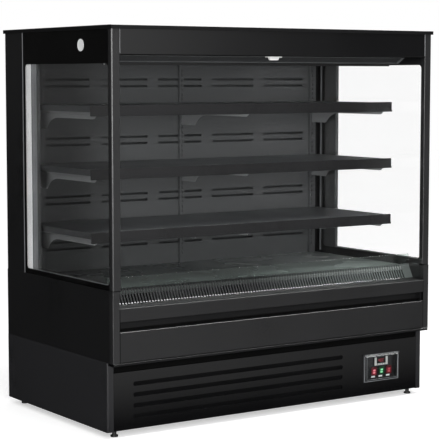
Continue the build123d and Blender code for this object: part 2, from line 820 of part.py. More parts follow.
def make_evaporator():
    """Evaporator coil: a finned block between end plates that stand on the well's floor."""
    fin_count = 14
    groove = 6.0
    plate = 3.0
    stand_off = 14.0
    coil_width = 2 * (evaporator_half - plate)
    fin_pitch = coil_width / fin_count
    y_middle = evaporator_front + evaporator_depth / 2
    with BuildPart() as evaporator:
        with BuildSketch(Plane.XY.offset(evaporator_low + stand_off)):
            with Locations((0, y_middle)):
                Rectangle(coil_width, evaporator_depth)
            with Locations((0, evaporator_front), (0, evaporator_front + evaporator_depth)):
                with GridLocations(fin_pitch, 1, fin_count, 1):
                    Rectangle(fin_pitch * 0.5, 2 * groove, mode=Mode.SUBTRACT)
        extrude(amount=evaporator_height)
        for x in (-evaporator_half, evaporator_half - plate):
            y_span = (evaporator_front - 8, evaporator_front + evaporator_depth + 8)
            z_span = (evaporator_low, evaporator_low + stand_off + evaporator_height + 12)
            block((x, x + plate), y_span, z_span)
    finish(evaporator.part, "evaporator")


# ---- upper body -------------------------------------------------------------------------------------------
def make_rear_wall():
    """Insulated rear wall, stepped in beside the rear posts."""
    with BuildPart() as rear_wall:
        y_span = (rear_wall_front, rear)
        block((-end_inner, end_inner), y_span, (lower_end_bottom, glass_seam))
        block((-post_inner, post_inner), y_span, (glass_seam, cap_underside))
    finish(rear_wall.part, "rear_wall")


def make_duct_panel():
    """Inner rear panel with a band of air slots behind each bay."""
    slot_columns = 5
    column_pitch = 2 * (post_inner - 60) / slot_columns
    bands = [deck_height + lower_bay / 2] + [level + 110 for level in shelf_levels.values()]
    with BuildPart() as duct_panel:
        y_span = (duct_front, duct_front + sheet)
        block((-post_inner, post_inner), y_span, (deck_height - sheet, ceiling))
        with BuildSketch(front_plane(duct_front - 1)):
            for z in bands:
                with Locations((0, z)):
                    with GridLocations(column_pitch, 36, slot_columns, 2):
                        Rectangle(column_pitch * 0.8, 12)
        extrude(amount=-sheet - 2, mode=Mode.SUBTRACT)
    finish(duct_panel.part, "duct_panel")


def make_slotted_uprights():
    """Three slotted uprights that carry the shelf brackets."""
    slots = int((ceiling - slot_low) / slot_pitch) + 1
    with BuildPart() as slotted_uprights:
        for x in upright_places:
            x_span = (x - upright_width / 2, x + upright_width / 2)
            block(x_span, (upright_front, duct_front), (deck_height, ceiling))
            inner_x = (x_span[0] + sheet, x_span[1] - sheet)
            inner_z = (deck_height, ceiling)
            block(inner_x, (upright_front + sheet, duct_front), inner_z, mode=Mode.SUBTRACT)
        with BuildSketch(front_plane(upright_front - 1)) as openings:
            for x in upright_places:
                middle = slot_low + slot_pitch * (slots - 1) / 2 - slot_height / 2
                with Locations((x, middle)):
                    with GridLocations(1, slot_pitch, 1, slots):
                        Rectangle(slot_width, slot_height)
        extrude(openings.sketch, amount=-sheet - 2, mode=Mode.SUBTRACT)
    finish(slotted_uprights.part, "slotted_uprights")


def make_shelves():
    """Three shelves: flat pans with turned-down edges."""
    shelf_rear = upright_front - shelf_rear_gap
    for label, level in shelf_levels.items():
        with BuildPart() as shelf:
            y_span = (rail_face + sheet, shelf_rear)
            block((-shelf_half, shelf_half), y_span, (level - shelf_flange, level))
            bottom = shelf.faces().sort_by(Axis.Z)[0]
            offset(amount=-sheet, openings=bottom)
            for x in upright_places:
                notch_half = bracket_thickness / 2 + touch_gap
                notch_y = (shelf_rear - 2 * sheet, shelf_rear + 1)
                notch_z = (level - shelf_flange - 1, level - sheet)
                block((x - notch_half, x + notch_half), notch_y, notch_z, mode=Mode.SUBTRACT)
        finish(shelf.part, label)


def make_shelf_brackets():
    """Sheet brackets under each shelf, hooked into the uprights."""
    hook_depth = 8.0
    hook_height = 9.0
    with BuildPart() as shelf_brackets:
        for level in shelf_levels.values():
            under = level - sheet
            low = level - bracket_drop
            heel = level - bracket_heel
            back = upright_front - 0.2
            for x in upright_places:
                with BuildSketch(side_plane(x - bracket_thickness / 2)) as profile:
                    nose = shelf_front + 20
                    with BuildLine():
                        Polyline(
                            (back, under),
                            (nose, under),
                            (nose, low + 26),
                            (nose + 6, low + 14),
                            (nose + 20, low + 5),
                            (nose + 56, low),
                            (back - 236, low),
                            (back - 204, low - 7),
                            (back - 172, low - 22),
                            (back - 148, low - 40),
                            (back - 132, heel),
                            (back, heel),
                            close=True,
                        )
                    make_face()
                extrude(profile.sketch, amount=bracket_thickness)
                for hook_low in (level - slot_pitch - slot_height, level - slot_height):
                    x_span = (x - bracket_thickness / 2, x + bracket_thickness / 2)
                    hook_y = (back - 1, back + hook_depth)
                    block(x_span, hook_y, (hook_low, hook_low + hook_height))
    finish(shelf_brackets.part, "shelf_brackets")


def make_price_rails():
    """Price rails on the shelf fronts: a flat face between a top return and a curled lower lip."""
    top_rise = 3.4
    with BuildPart() as price_rails:
        for level in shelf_levels.values():
            top = level + top_rise
            low = top - rail_height
            route = [(rail_face + 10, top), (rail_face, top), (rail_face, low)]
            route += [(rail_face - 4, low), (rail_face - 4, low + rail_lip)]
            add(creased_sheet(route, -rail_half, rail_half))
    finish(price_rails.part, "price_rails")


def make_canopy():
    """Insulated roof slab behind the blind's compartment."""
    with BuildPart() as canopy:
        y_span = (roller_y + blind_roll_radius + 8, rear_wall_front)
        block((-post_inner, post_inner), y_span, (canopy_underside, cap_underside))
    finish(canopy.part, "canopy")


outlet_front = front + outlet_front_setback
outlet_rear = front + outlet_rear_setback
outlet_rise = header_bottom - ceiling
outlet_angle = math.atan2(outlet_rise, outlet_rear - outlet_front)
outlet_width = math.hypot(outlet_rise, outlet_rear - outlet_front)


def outlet_plane():
    """A plane on the sloping outlet's underside: its axes run along the width and the slope."""
    middle = ((outlet_front + outlet_rear) / 2, (header_bottom + ceiling) / 2)
    inward = (0, math.sin(outlet_angle), math.cos(outlet_angle))
    return Plane(origin=(0, *middle), x_dir=(-1, 0, 0), z_dir=inward)


def make_ceiling_panel():
    """Ceiling sheet that forms the air duct, with the sloping window for the air outlet."""
    soffit_front = front + soffit_front_setback
    route = [(soffit_front, header_bottom + 10), (soffit_front, header_bottom)]
    route += [(outlet_front, header_bottom), (outlet_rear, ceiling), (duct_front + sheet, ceiling)]
    slope = outlet_plane()
    with BuildPart() as ceiling_panel:
        add(folded_sheet(route, bend, -post_inner, post_inner, Side.LEFT))
        with BuildSketch(slope.offset(-2)) as window:
            Rectangle(2 * (post_inner - 20), outlet_width - 12)
        extrude(window.sketch, amount=6, mode=Mode.SUBTRACT)
    finish(ceiling_panel.part, "ceiling_panel")


def make_air_outlet():
    """Air-curtain outlet: rows of thin vanes along the width, set in the sloping window."""
    columns, rows = 6, 4
    wall = 1.6
    slope = outlet_plane()
    width = 2 * (post_inner - 20) - 2 * touch_gap
    height = outlet_width - 12 - 2 * touch_gap
    with BuildPart() as air_outlet:
        with BuildSketch(slope):
            Rectangle(width, height)
            pitch = ((width - wall) / columns, (height - wall) / rows)
            with GridLocations(*pitch, columns, rows):
                Rectangle(pitch[0] - wall, pitch[1] - wall, mode=Mode.SUBTRACT)
        extrude(amount=outlet_thickness)
    finish(air_outlet.part, "air_outlet")


def make_roof_cap():
    """Roof cap: a shallow lid that hangs over the body on all sides."""
    with BuildPart() as roof_cap:
        x_half = half_width + roof_side_overhang
        y_half = rear + roof_end_overhang
        block((-x_half, x_half), (-y_half, y_half), (overall_height - roof_rim, overall_height))
        bottom = roof_cap.faces().sort_by(Axis.Z)[0]
        offset(amount=-sheet, openings=bottom)
        chamfer(roof_cap.edges().group_by(Axis.Z)[-1], 0.8)
    finish(roof_cap.part, "roof_cap")


def make_header_fascia():
    """Header front: a folded sheet with a return under it in front of the blind."""
    return_depth = blind_setback - blind_bar_depth
    route = [(front + return_depth, header_bottom + 20), (front + return_depth, header_bottom)]
    route += [(front, header_bottom), (front, cap_underside), (front + 22, cap_underside)]
    with BuildPart() as header_fascia:
        add(folded_sheet(route, bend, -post_inner, post_inner, Side.RIGHT))
    finish(header_fascia.part, "header_fascia")


def make_end_rails():
    """Rails between the panes: header blocks with the blind's bearings, and lower rails."""
    outer = half_width - pane
    with BuildPart() as end_rails:
        for sign in (-1, 1):
            header_x = sorted((sign * post_inner, sign * outer))
            block(header_x, (glass_front, glass_rear), (window_top, cap_underside))
            rail_x = sorted((sign * glass_inner, sign * outer))
            block(rail_x, (glass_front, glass_rear), (glass_seam, window_bottom))
        bore_reach = post_inner + blind_pin_length + 2
        with BuildSketch(side_plane(-bore_reach)) as bore:
            with Locations((roller_y, roller_z)):
                Circle(blind_pin_radius + running_clearance)
        extrude(bore.sketch, amount=2 * bore_reach, mode=Mode.SUBTRACT)
    finish(end_rails.part, "end_rails")


def make_side_glass():
    """Double glazing of the ends: a tall outer pane and an inner pane over the window."""
    for label, sign in (("side_glass_left", -1), ("side_glass_right", 1)):
        outer_x = sorted((sign * (half_width - pane), sign * half_width))
        inner_x = sorted((sign * glass_inner, sign * (glass_inner + pane)))
        with BuildPart() as side_glass:
            y_span = (glass_front, glass_rear)
            block(outer_x, y_span, (glass_seam, cap_underside))
            block(inner_x, y_span, (window_bottom, window_top))
        finish(side_glass.part, label)


def make_glass_edge_profiles():
    """Bright upright profiles that hold the rear edge of each glass unit."""
    with BuildPart() as glass_edge_profiles:
        for sign in (-1, 1):
            x_span = sorted((sign * post_inner, sign * half_width))
            block(x_span, (glass_rear, post_front), (glass_seam, cap_underside))
    finish(glass_edge_profiles.part, "glass_edge_profiles")


def make_posts():
    """Front and rear posts of the glazed ends."""
    for side_name, sign in (("left", -1), ("right", 1)):
        x_span = sorted((sign * post_inner, sign * half_width))
        z_span = (glass_seam, cap_underside)
        with BuildPart() as front_post:
            block(x_span, (front, glass_front), z_span)
            outer = front_post.edges().filter_by(Axis.Z).group_by(Axis.Y)[0].sort_by(Axis.X)
            fillet(outer[0 if sign < 0 else -1], post_edge_radius)
        finish(front_post.part, f"front_post_{side_name}")
        with BuildPart() as rear_post:
            block(x_span, (post_front, rear), z_span)
            corner = rear_post.edges().filter_by(Axis.Z).group_by(Axis.Y)[-1].sort_by(Axis.X)
            fillet(corner[0 if sign < 0 else -1], post_edge_radius)
        finish(rear_post.part, f"rear_post_{side_name}")


def make_side_discs():
    """Round blank discs on the outer panes beside the header."""
    disc_radius = 30.0
    disc_y = front + 294.5
    disc_z = cap_underside - 90.0
    with BuildPart() as side_discs:
        for sign in (-1, 1):
            with BuildSketch(side_plane(sign * half_width)):
                with Locations((disc_y, disc_z)):
                    RegularPolygon(disc_radius, 32)
            extrude(amount=sign * 3)
    finish(side_discs.part, "side_discs")


def make_canopy_lamp():
    """Lamp under the ceiling behind the air outlet: a slim housing with a rounded diffuser."""
    lamp_half = post_inner - 56.0
    lamp_y = (outlet_rear + 12, outlet_rear + 42)
    with BuildPart() as canopy_lamp:
        with BuildSketch(side_plane(-lamp_half)):
            with BuildLine():
                Polyline(
                    (lamp_y[0], ceiling - 7),
                    (lamp_y[0], ceiling),
                    (lamp_y[1], ceiling),
                    (lamp_y[1], ceiling - 7),
                )
                ThreePointArc(
                    (lamp_y[1], ceiling - 7),
                    ((lamp_y[0] + lamp_y[1]) / 2, ceiling - 16),
                    (lamp_y[0], ceiling - 7),
                )
            make_face()
        extrude(amount=2 * lamp_half)
    finish(canopy_lamp.part, "canopy_lamp")


# ---- night blind ---------------------------------------------------------------------------------------------
def make_blind_roller():
    """Spring roller with the blind wound on it and a pin at each end."""
    with BuildPart() as blind_roller:
        with BuildSketch(side_plane(-blind_half)):
            with Locations((roller_y, roller_z)):
                Circle(blind_roll_radius)
        extrude(amount=2 * blind_half)
        pin_end = post_inner + blind_pin_length
        for sign in (-1, 1):
            with BuildSketch(side_plane(sign * blind_half)) as pin:
                with Locations((roller_y, roller_z)):
                    RegularPolygon(blind_pin_radius, shaft_flats)
            extrude(pin.sketch, amount=sign * (pin_end - blind_half))
    finish(blind_roller.part, "blind_roller")


def make_blind_cloth():
    """The short stretch of blind cloth between the roller and the bottom bar."""
    cloth_gap = 0.1
    with BuildPart() as blind_cloth:
        y_span = (blind_y - cloth_gap - blind_cloth_thickness, blind_y - cloth_gap)
        block((5 - blind_half, blind_half - 5), y_span, (bar_top, roller_z))
    finish(blind_cloth.part, "blind_cloth")


def make_blind_bar():
    """Bottom bar of the blind with the pull handle under its middle."""
    grip = 56.0
    half_depth = blind_bar_depth / 2
    with BuildPart() as blind_bar:
        y_span = (blind_y - half_depth, blind_y + half_depth)
        block((-blind_half, blind_half), y_span, (bar_bottom, bar_top))
        chamfer(blind_bar.edges().filter_by(Axis.X), 3)
    finish(blind_bar.part, "blind_bar")
    with BuildPart() as blind_handle:
        y_plate = blind_y - half_depth + 1
        with BuildSketch(front_plane(y_plate)):
            with BuildLine():
                plate_low = bar_bottom - 6
                Polyline(
                    (-handle_width / 2, bar_bottom),
                    (handle_width / 2, bar_bottom),
                    (handle_width / 2, plate_low),
                    (grip / 2, plate_low),
                    (grip / 2 - 7, bar_bottom - handle_drop),
                    (7 - grip / 2, bar_bottom - handle_drop),
                    (-grip / 2, plate_low),
                    (-handle_width / 2, plate_low),
                    close=True,
                )
            make_face()
        extrude(amount=-(blind_bar_depth - 2))
        chamfer(blind_handle.edges().filter_by(Axis.Y).group_by(Axis.Z)[0], 2)
    finish(blind_handle.part, "blind_handle")


for make in (
    make_base_tray, make_feet, make_base_sides, make_kick_grille, make_rear_grille,
    make_control_panel, make_control_cover, make_rockers, make_temperature_controller,
    make_condenser, make_compressor, make_condensate_tray, make_refrigerant_pipes,
    make_lower_tank, make_lower_ends, make_lower_fascia, make_bumper_rail,
    make_return_air_grille, make_front_riser, make_deck_pans, make_evaporator_fans,
    make_evaporator, make_rear_wall, make_duct_panel, make_slotted_uprights, make_shelves,
    make_shelf_brackets, make_price_rails, make_canopy, make_ceiling_panel, make_air_outlet,
    make_roof_cap, make_header_fascia, make_end_rails, make_side_glass,
    make_glass_edge_profiles, make_posts, make_side_discs, make_canopy_lamp,
    make_blind_roller, make_blind_cloth, make_blind_bar,
):
    make()
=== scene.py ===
"""Dresses the open multideck display fridge for its portrait.

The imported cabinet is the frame. Each sub-assembly below models its own pieces on the bench,
seats them on the frame and gives every piece and every carried-over node its finish.
Lengths are in metres, X to the right seen from the front, Y to the rear, Z up.
"""

import logging
import math
from dataclasses import dataclass
from enum import Enum
from functools import cache
from typing import Callable, Sequence

import bmesh
import bpy
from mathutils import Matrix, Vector


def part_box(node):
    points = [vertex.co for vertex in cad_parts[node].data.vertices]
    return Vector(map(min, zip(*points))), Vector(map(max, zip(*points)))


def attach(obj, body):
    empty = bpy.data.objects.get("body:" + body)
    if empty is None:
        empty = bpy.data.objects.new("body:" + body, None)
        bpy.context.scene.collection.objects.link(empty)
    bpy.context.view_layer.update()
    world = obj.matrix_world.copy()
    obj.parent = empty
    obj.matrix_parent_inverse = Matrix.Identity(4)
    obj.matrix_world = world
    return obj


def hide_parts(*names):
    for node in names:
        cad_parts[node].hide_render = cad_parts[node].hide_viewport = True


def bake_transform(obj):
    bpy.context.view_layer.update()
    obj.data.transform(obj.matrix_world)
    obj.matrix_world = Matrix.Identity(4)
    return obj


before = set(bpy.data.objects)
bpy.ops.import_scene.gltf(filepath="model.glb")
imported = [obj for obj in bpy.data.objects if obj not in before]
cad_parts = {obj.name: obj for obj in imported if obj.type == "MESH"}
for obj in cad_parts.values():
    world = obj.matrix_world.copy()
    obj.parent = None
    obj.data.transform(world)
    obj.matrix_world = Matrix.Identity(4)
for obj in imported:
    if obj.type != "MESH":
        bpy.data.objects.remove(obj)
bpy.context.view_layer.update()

NODES: dict[str, bpy.types.Object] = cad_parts
LOG = logging.getLogger("display_fridge")

Node = bpy.types.Node
Socket = bpy.types.NodeSocket
Tree = bpy.types.ShaderNodeTree
Pair = tuple[float, float]
Point = tuple[float, float, float]

NEAR = 2e-5  # lengths this close are the same
FACING = 0.9  # the least cosine at which a face looks along an axis
FRONT_Y = -0.5625  # the plane of the posts, header, bumper and fascia
SIDES = (("left", -1), ("right", 1))


class Pick(Enum):
    """What an edit-mode selection is made of."""

    POINT = "VERT"
    EDGE = "EDGE"
    FACE = "FACE"


class Along(Enum):
    """The axis that a piece, an edge or a grain runs along, or that a face looks along."""

    X = 0
    Y = 1
    Z = 2


class Surface(Enum):
    """The kinds of pattern that a finish can have."""

    COATED = "coated"
    STREAKED = "streaked"
    WOVEN = "woven"
    # Painted reflection: a second, lighter colour towards the right end.
    SWEPT = "swept"


# ---- shader nodes ---------------------------------------------------------------------------


class Nodes:
    """The nodes of one material, world or group."""

    def __init__(self, tree: Tree) -> None:
        """Takes the tree that the nodes go into."""
        self.tree = tree

    def feed(self, node: Node, inputs: dict[object, object]) -> None:
        """Feeds a node's inputs.

        Args:
            node: The node.
            inputs: Numbers, colours or sockets, by the inputs' names or places.
        """
        for key, given in inputs.items():
            if isinstance(given, Socket):
                self.tree.links.new(given, node.inputs[key])
            else:
                node.inputs[key].default_value = given

    def add(self, kind: str, inputs: dict[object, object], **settings: object) -> Node:
        """Adds a node.

        Args:
            kind: Its Blender type after ShaderNode.
            inputs: What feeds it.
            settings: Its plain properties.

        Returns:
            The new node.
        """
        made = self.tree.nodes.new("ShaderNode" + kind)
        for key, value in settings.items():
            setattr(made, key, value)
        self.feed(made, inputs)
        return made

    def noise(self, vector: Socket, scale: object, detail: float) -> Socket:
        """Adds a noise texture of a scale and a number of octaves, from 0 to 1."""
        made = self.add("TexNoise", {"Vector": vector, "Scale": scale, "Detail": detail})
        return made.outputs["Fac"]

    def ramp(self, value: Socket, low: object, high: object, start: float = 0.0,
             stop: float = 1.0, **settings: object) -> Socket:
        """Maps a value from start..stop to low..high.

        Args:
            value: The value to map.
            low: A number or socket for the low end.
            high: A number or socket for the high end.
            start: The value that gives low.
            stop: The value that gives high.
            settings: The node's plain properties.

        Returns:
            The mapped value.
        """
        ends = {"From Min": start, "From Max": stop, "To Min": low, "To Max": high}
        return self.add("MapRange", {"Value": value, **ends}, **settings).outputs["Result"]

    def math(self, how: str, first: object, second: object) -> Socket:
        """Adds a math node on two numbers or sockets."""
        return self.add("Math", {0: first, 1: second}, operation=how).outputs[0]

    def own_place(self, stretch: Point = (1.0, 1.0, 1.0)) -> Socket:
        """Gives the object's own coordinates, stretched along each axis."""
        own = self.add("TexCoord", {}).outputs["Object"]
        return self.add("Mapping", {"Vector": own, "Scale": stretch}).outputs["Vector"]

    def mirrored_ray(self) -> Socket:
        """Gives 1 for a ray that left a glossy surface and 0 for the rest."""
        depth = self.add("LightPath", {}).outputs["Glossy Depth"]
        return self.math("GREATER_THAN", depth, 0.5)

    def straight_ray(self) -> Socket:
        """Gives 1 for camera rays, also those that passed through glass, and 0 for the rest.

        Returns:
            The mask.
        """
        path = self.add("LightPath", {}).outputs
        bounced = self.math("ADD", path["Glossy Depth"], path["Diffuse Depth"])
        direct = self.math("LESS_THAN", bounced, 0.5)
        through = self.math("MULTIPLY", path["Is Transmission Ray"], direct)
        return self.math("MAXIMUM", path["Is Camera Ray"], through)


class Pattern(Nodes):
    """A shader node group that turns a finish's values into colour, roughness and height."""

    def __init__(self, name: str) -> None:
        """Opens the group with the inputs and outputs that every pattern has.

        Args:
            name: The group's name.
        """
        super().__init__(bpy.data.node_groups.new(name, "ShaderNodeTree"))
        for way, labels in (("INPUT", ("Base", "Drift", "Low", "High", "Grain")),
                            ("OUTPUT", ("Colour", "Roughness", "Height"))):
            for label in labels:
                kind = "Color" if label in ("Base", "Drift", "Colour") else "Float"
                self.tree.interface.new_socket(label, in_out=way, socket_type=f"NodeSocket{kind}")
        given = self.tree.nodes.new("NodeGroupInput").outputs
        self.base, self.drift, self.low, self.high, self.grain = given[:5]
        self.exit = self.tree.nodes.new("NodeGroupOutput")

    def blend(self, mask: Socket, first: Socket, second: Socket) -> Socket:
        """Mixes two colours: 0 in the mask gives the first and 1 the second."""
        made = self.add("Mix", {"Factor": mask, 6: first, 7: second}, data_type="RGBA")
        return made.outputs[2]

    def close(self, colour: Socket, height: Socket, gloss: Socket, start: float,
              stop: float) -> Tree:
        """Feeds the group's outputs.

        Args:
            colour: The colour.
            height: The relief.
            gloss: The value that the roughness follows.
            start: The value that gives the low roughness.
            stop: The value that gives the high roughness.

        Returns:
            The group.
        """
        rough = self.ramp(gloss, self.low, self.high, start, stop)
        self.feed(self.exit, {"Colour": colour, "Roughness": rough, "Height": height})
        return self.tree


@cache
def coating() -> Tree:
    """Broad tone drift, fine speckle and a pebbled height, for paint, plastic and rubber.

    Returns:
        The group.
    """
    group = Pattern("coating")
    spot = group.own_place()
    broad = group.noise(spot, 2.3, 3.0)
    speck = group.noise(spot, group.math("MULTIPLY", group.grain, 0.45), 2.0)
    pebbles = group.noise(spot, group.grain, 1.0)
    clouds = group.ramp(broad, 0.0, 0.8, 0.3, 0.7)
    drift = group.math("ADD", clouds, group.ramp(speck, 0.0, 0.4, 0.45, 0.75))
    colour = group.blend(group.ramp(drift, 0.0, 1.0), group.base, group.drift)
    gloss = group.math("ADD", group.math("MULTIPLY", broad, 0.7),
                       group.math("MULTIPLY", pebbles, 0.3))
    return group.close(colour, pebbles, gloss, 0.35, 0.65)


@cache
def sweep() -> Tree:
    """A coating that lightens to its second colour along the width, for deck and grille: painted
    reflection of the bright window at the right.

    Returns:
        The group.
    """
    group = Pattern("sweep")
    spot = group.own_place()
    x = group.add("SeparateXYZ", {"Vector": spot}).outputs["X"]
    colour = group.blend(group.ramp(x, 0.0, 1.0, -0.1, 0.75), group.base, group.drift)
    pebbles = group.noise(spot, group.grain, 1.0)
    return group.close(colour, pebbles, group.noise(spot, 2.3, 3.0), 0.35, 0.65)


@cache
def streaks(along: Along) -> Tree:
    """Fine parallel lines along one axis, for brushed and rolled metal.

    Args:
        along: The axis of the lines.

    Returns:
        The group.
    """
    group = Pattern(f"streaks_{along.name}")
    stretch = tuple(0.004 if axis is along else 1.0 for axis in Along)
    line = group.noise(group.own_place(stretch), group.grain, 3.0)
    cloud = group.noise(group.own_place(), 6.0, 2.0)
    mask = group.ramp(group.math("MULTIPLY", line, cloud), 0.0, 1.0, 0.15, 0.4)
    return group.close(group.blend(mask, group.base, group.drift), line, line, 0.3, 0.7)


@cache
def weave() -> Tree:
    """Crossing threads along the width and the height, for the blind's cloth.

    Returns:
        The group.
    """
    group = Pattern("weave")
    inputs = {"Distortion": 0.6, "Vector": group.own_place(), "Scale": group.grain}
    across, upright = (group.add("TexWave", inputs, wave_type="BANDS", bands_direction=way)
                       for way in ("X", "Z"))
    height = group.math("MAXIMUM", across.outputs["Fac"], upright.outputs["Fac"])
    return group.close(group.blend(height, group.drift, group.base), height, height, 1.0, 0.0)


# ---- finishes -------------------------------------------------------------------------------


def tone(code: str) -> tuple[float, ...]:
    """Turns a screen colour of six hex digits into a linear colour with its alpha."""
    levels = [int(code[i:i + 2], 16) / 255 for i in (0, 2, 4)]
    return (*(v / 12.92 if v <= 0.04045 else ((v + 0.055) / 1.055) ** 2.4 for v in levels), 1.0)


@dataclass(frozen=True)
class Finish:
    """One finish: its colours, its gloss and its relief."""

    name: str
    base: str
    drift: str
    gloss: Pair = (0.34, 0.44)
    surface: Surface = Surface.COATED
    metallic: float = 0.0
    specular: float = 0.5
    coat: float = 0.0
    grain: float = 1400.0
    relief: float = 0.12
    along: Along = Along.X
    glow: float = 0.0

    def material(self) -> bpy.types.Material:
        """Gives the finish's material, which is made at its first use.

        Returns:
            The material.
        """
        label = f"{self.name}_finish"
        found = bpy.data.materials.get(label)
        if found is not None:
            return found
        made = bpy.data.materials.new(label)
        made.use_nodes = True
        nodes = Nodes(made.node_tree)
        shader = made.node_tree.nodes["Principled BSDF"]
        nodes.feed(shader, {"Metallic": self.metallic, "Specular IOR Level": self.specular,
                            "Coat Weight": self.coat, "Coat Roughness": 0.08})
        self.dress(nodes, shader)
        return made

    def pattern(self, nodes: Nodes) -> Node:
        """Places the group of the finish's surface and gives it the finish's values.

        Args:
            nodes: The material's nodes.

        Returns:
            The group's node.
        """
        groups = {Surface.COATED: coating, Surface.STREAKED: lambda: streaks(self.along),
                  Surface.WOVEN: weave, Surface.SWEPT: sweep}
        values = {"Base": tone(self.base), "Drift": tone(self.drift), "Low": self.gloss[0],
                  "High": self.gloss[1], "Grain": self.grain}
        return nodes.add("Group", values, node_tree=groups[self.surface]())

    def dress(self, nodes: Nodes, shader: Node) -> None:
        """Feeds the shader from the finish's pattern.

        Args:
            nodes: The material's nodes.
            shader: Its Principled BSDF.
        """
        given = self.pattern(nodes).outputs
        bump = nodes.add("Bump", {"Strength": self.relief, "Distance": 0.0001,
                                  "Height": given["Height"]})
        nodes.feed(shader, {"Base Color": given["Colour"], "Roughness": given["Roughness"],
                            "Normal": bump.outputs["Normal"]})
        if self.glow:
            nodes.feed(shader, {"Emission Color": given["Colour"], "Emission Strength": self.glow})


@dataclass(frozen=True)
class Clear(Finish):
    """A see-through finish: glass or clear plastic with faint wipe marks."""

    ior: float = 1.5

    def dress(self, nodes: Nodes, shader: Node) -> None:
        """Makes the shader see-through and lets wipe marks vary its gloss.

        Args:
            nodes: The material's nodes.
            shader: Its Principled BSDF.
        """
        rough = self.pattern(nodes).outputs["Roughness"]
        nodes.feed(shader, {"Transmission Weight": 1.0, "IOR": self.ior,
                            "Base Color": tone(self.base), "Roughness": rough})


STREAKED, SWEPT = Surface.STREAKED, Surface.SWEPT
BODY = Finish("body_paint", "101011", "141415", (0.26, 0.34))
HEADER = Finish("header_paint", "0b0b0c", "0e0e0f", (0.14, 0.18))
# Lighter than the body paint: painted reflection of the floor on the low side panels.
BASE_SIDE_LIT = Finish("base_side_paint", "1e1e20", "222224", (0.26, 0.34))
FRONT = Finish("front_paint", "131314", "171718", (0.26, 0.34))
POST = Finish("post_paint", "1b1b1c", "1f1f20", (0.26, 0.34))
KICK = Finish("kick_paint", "080809", "0b0b0c", (0.14, 0.18))
INSERT = Finish("insert_rubber", "141515", "181919", (0.6, 0.7), specular=0.1)
INNER = Finish("inner_paint", "5a5c5d", "5e6061")
# Darker and duller than the body paint: painted shade on the tank front in the recess, the recess
# wall, the lip and the louvre blades.
RECESS_SHADE = Finish("tank_paint", "0c0c0d", "101011", (0.4, 0.5), specular=0.2)
# Near-black with almost no sheen: painted shade for the recess shadow strip, the kick gap baffle
# and the drip edge, and the colour of the dark joints.
SHADE = Finish("recess_paint", "050505", "080808", (0.5, 0.6), specular=0.05)
CAP = Finish("cap_paint", "0a0a0b", "0d0d0e", (0.30, 0.32), specular=0.25)
SHELF = Finish("shelf_paint", "505254", "56585a", (0.30, 0.40))
BRACKET = Finish("bracket_paint", "969899", "9c9e9f", (0.30, 0.40))
# Deck and grille lighten towards the right: painted reflection of the bright window, not a change
# of paint.
DECK = Finish("deck_paint", "4a504e", "a8aeac", (0.24, 0.32), SWEPT)
GRILLE = Finish("grille_paint", "1a1c1c", "585e5c", (0.13, 0.17), SWEPT, specular=0.4)
RAIL = Finish("rail_paint", "141415", "18181a", (0.24, 0.32))
# Pale grey: painted highlight, used for the fascia's end edges.
EDGE_HIGHLIGHT = Finish("edge_trim", "77787a", "85868a", (0.28, 0.36))
# Dark grey moulding, made lighter to paint the hazy reflection in the clear cover.
CONTROL_HAZE = Finish("control_moulding", "2a2a2c", "303032", (0.12, 0.2), coat=0.3)
BEZEL = Finish("bezel_moulding", "f0f0ec", "fafaf6", (0.3, 0.4))
# White plates that glow faintly though unlit: painted light.
PLATE_GLOW = Finish("plate_moulding", "fafafa", "ffffff", (0.28, 0.38), glow=0.3)
WHITE = Finish("white_moulding", "f4f4f2", "fcfcfa", (0.28, 0.38))
DISC = Finish("disc_moulding", "cfd0d0", "dddede", (0.28, 0.38))
SCREEN = Finish("screen_glass", "120608", "190a0c", (0.04, 0.1), coat=0.5)
DIGIT = Finish("digit_light", "9c2430", "b83842", glow=0.5)
KEY_RED = Finish("key_red", "a01428", "b4203a", (0.10, 0.2), coat=0.5)
KEY_GREEN = Finish("key_green", "0c7a3c", "148a48", (0.10, 0.2), coat=0.5)
RUBBER = Finish("foot_rubber", "101010", "191919", (0.5, 0.7), relief=0.3)
SEAL = Finish("glazing_seal", "0b0b0b", "121212", (0.45, 0.6))
FRIT = Finish("ceramic_print", "040404", "070707", (0.4, 0.5), specular=0.1)
ZINC = Finish("zinc_steel", "8d8f90", "a5a7a8", (0.3, 0.5), STREAKED, 1.0)
PROFILE = Finish("profile_aluminium", "8e9092", "7c7e80", (0.3, 0.45), STREAKED, 0.3,
                 along=Along.Z)
# Near-white with a faint glow: painted light and painted reflection on the cover strip seen through
# the glass, a lit copy of the cover metal.
COVER_STRIP_GLOW = Finish("cover_strip_metal", "fcfcfc", "e8e9e9", (0.3, 0.45), STREAKED, 0.1,
                     along=Along.Z, grain=260.0, glow=0.16)
COVER_FOLD = Finish("cover_fold_metal", "a2a4a6", "8c8e90", (0.3, 0.45), STREAKED, 0.2,
                    along=Along.Z, grain=260.0)
BAR = Finish("bar_aluminium", "b9bbbd", "8d8f91", (0.22, 0.4), STREAKED, 0.8)
COIL = Finish("coil_aluminium", "a9abad", "7b7d7f", (0.3, 0.5), STREAKED, 1.0,
              along=Along.Z, grain=500.0)
LAGGING = Finish("pipe_lagging", "0b0b0b", "131313", (0.6, 0.8), relief=0.3)
MACHINE = Finish("machine_paint", "141414", "1f1f1f", (0.4, 0.55), relief=0.25)
OUTLET = Finish("outlet_moulding", "3a3b3c", "444546", (0.4, 0.5), specular=0.25)
DIFFUSER = Finish("lamp_diffuser", "d8d9da", "e6e7e8", (0.35, 0.5))
FABRIC = Finish("blind_weave", "8a8c8e", "5c5e60", (0.7, 0.9), Surface.WOVEN,
                relief=0.5, grain=420.0)
LENS_RED = Finish("lens_red", "ff7c8c", "ffa0aa", (0.08, 0.16), coat=0.6, glow=0.35)
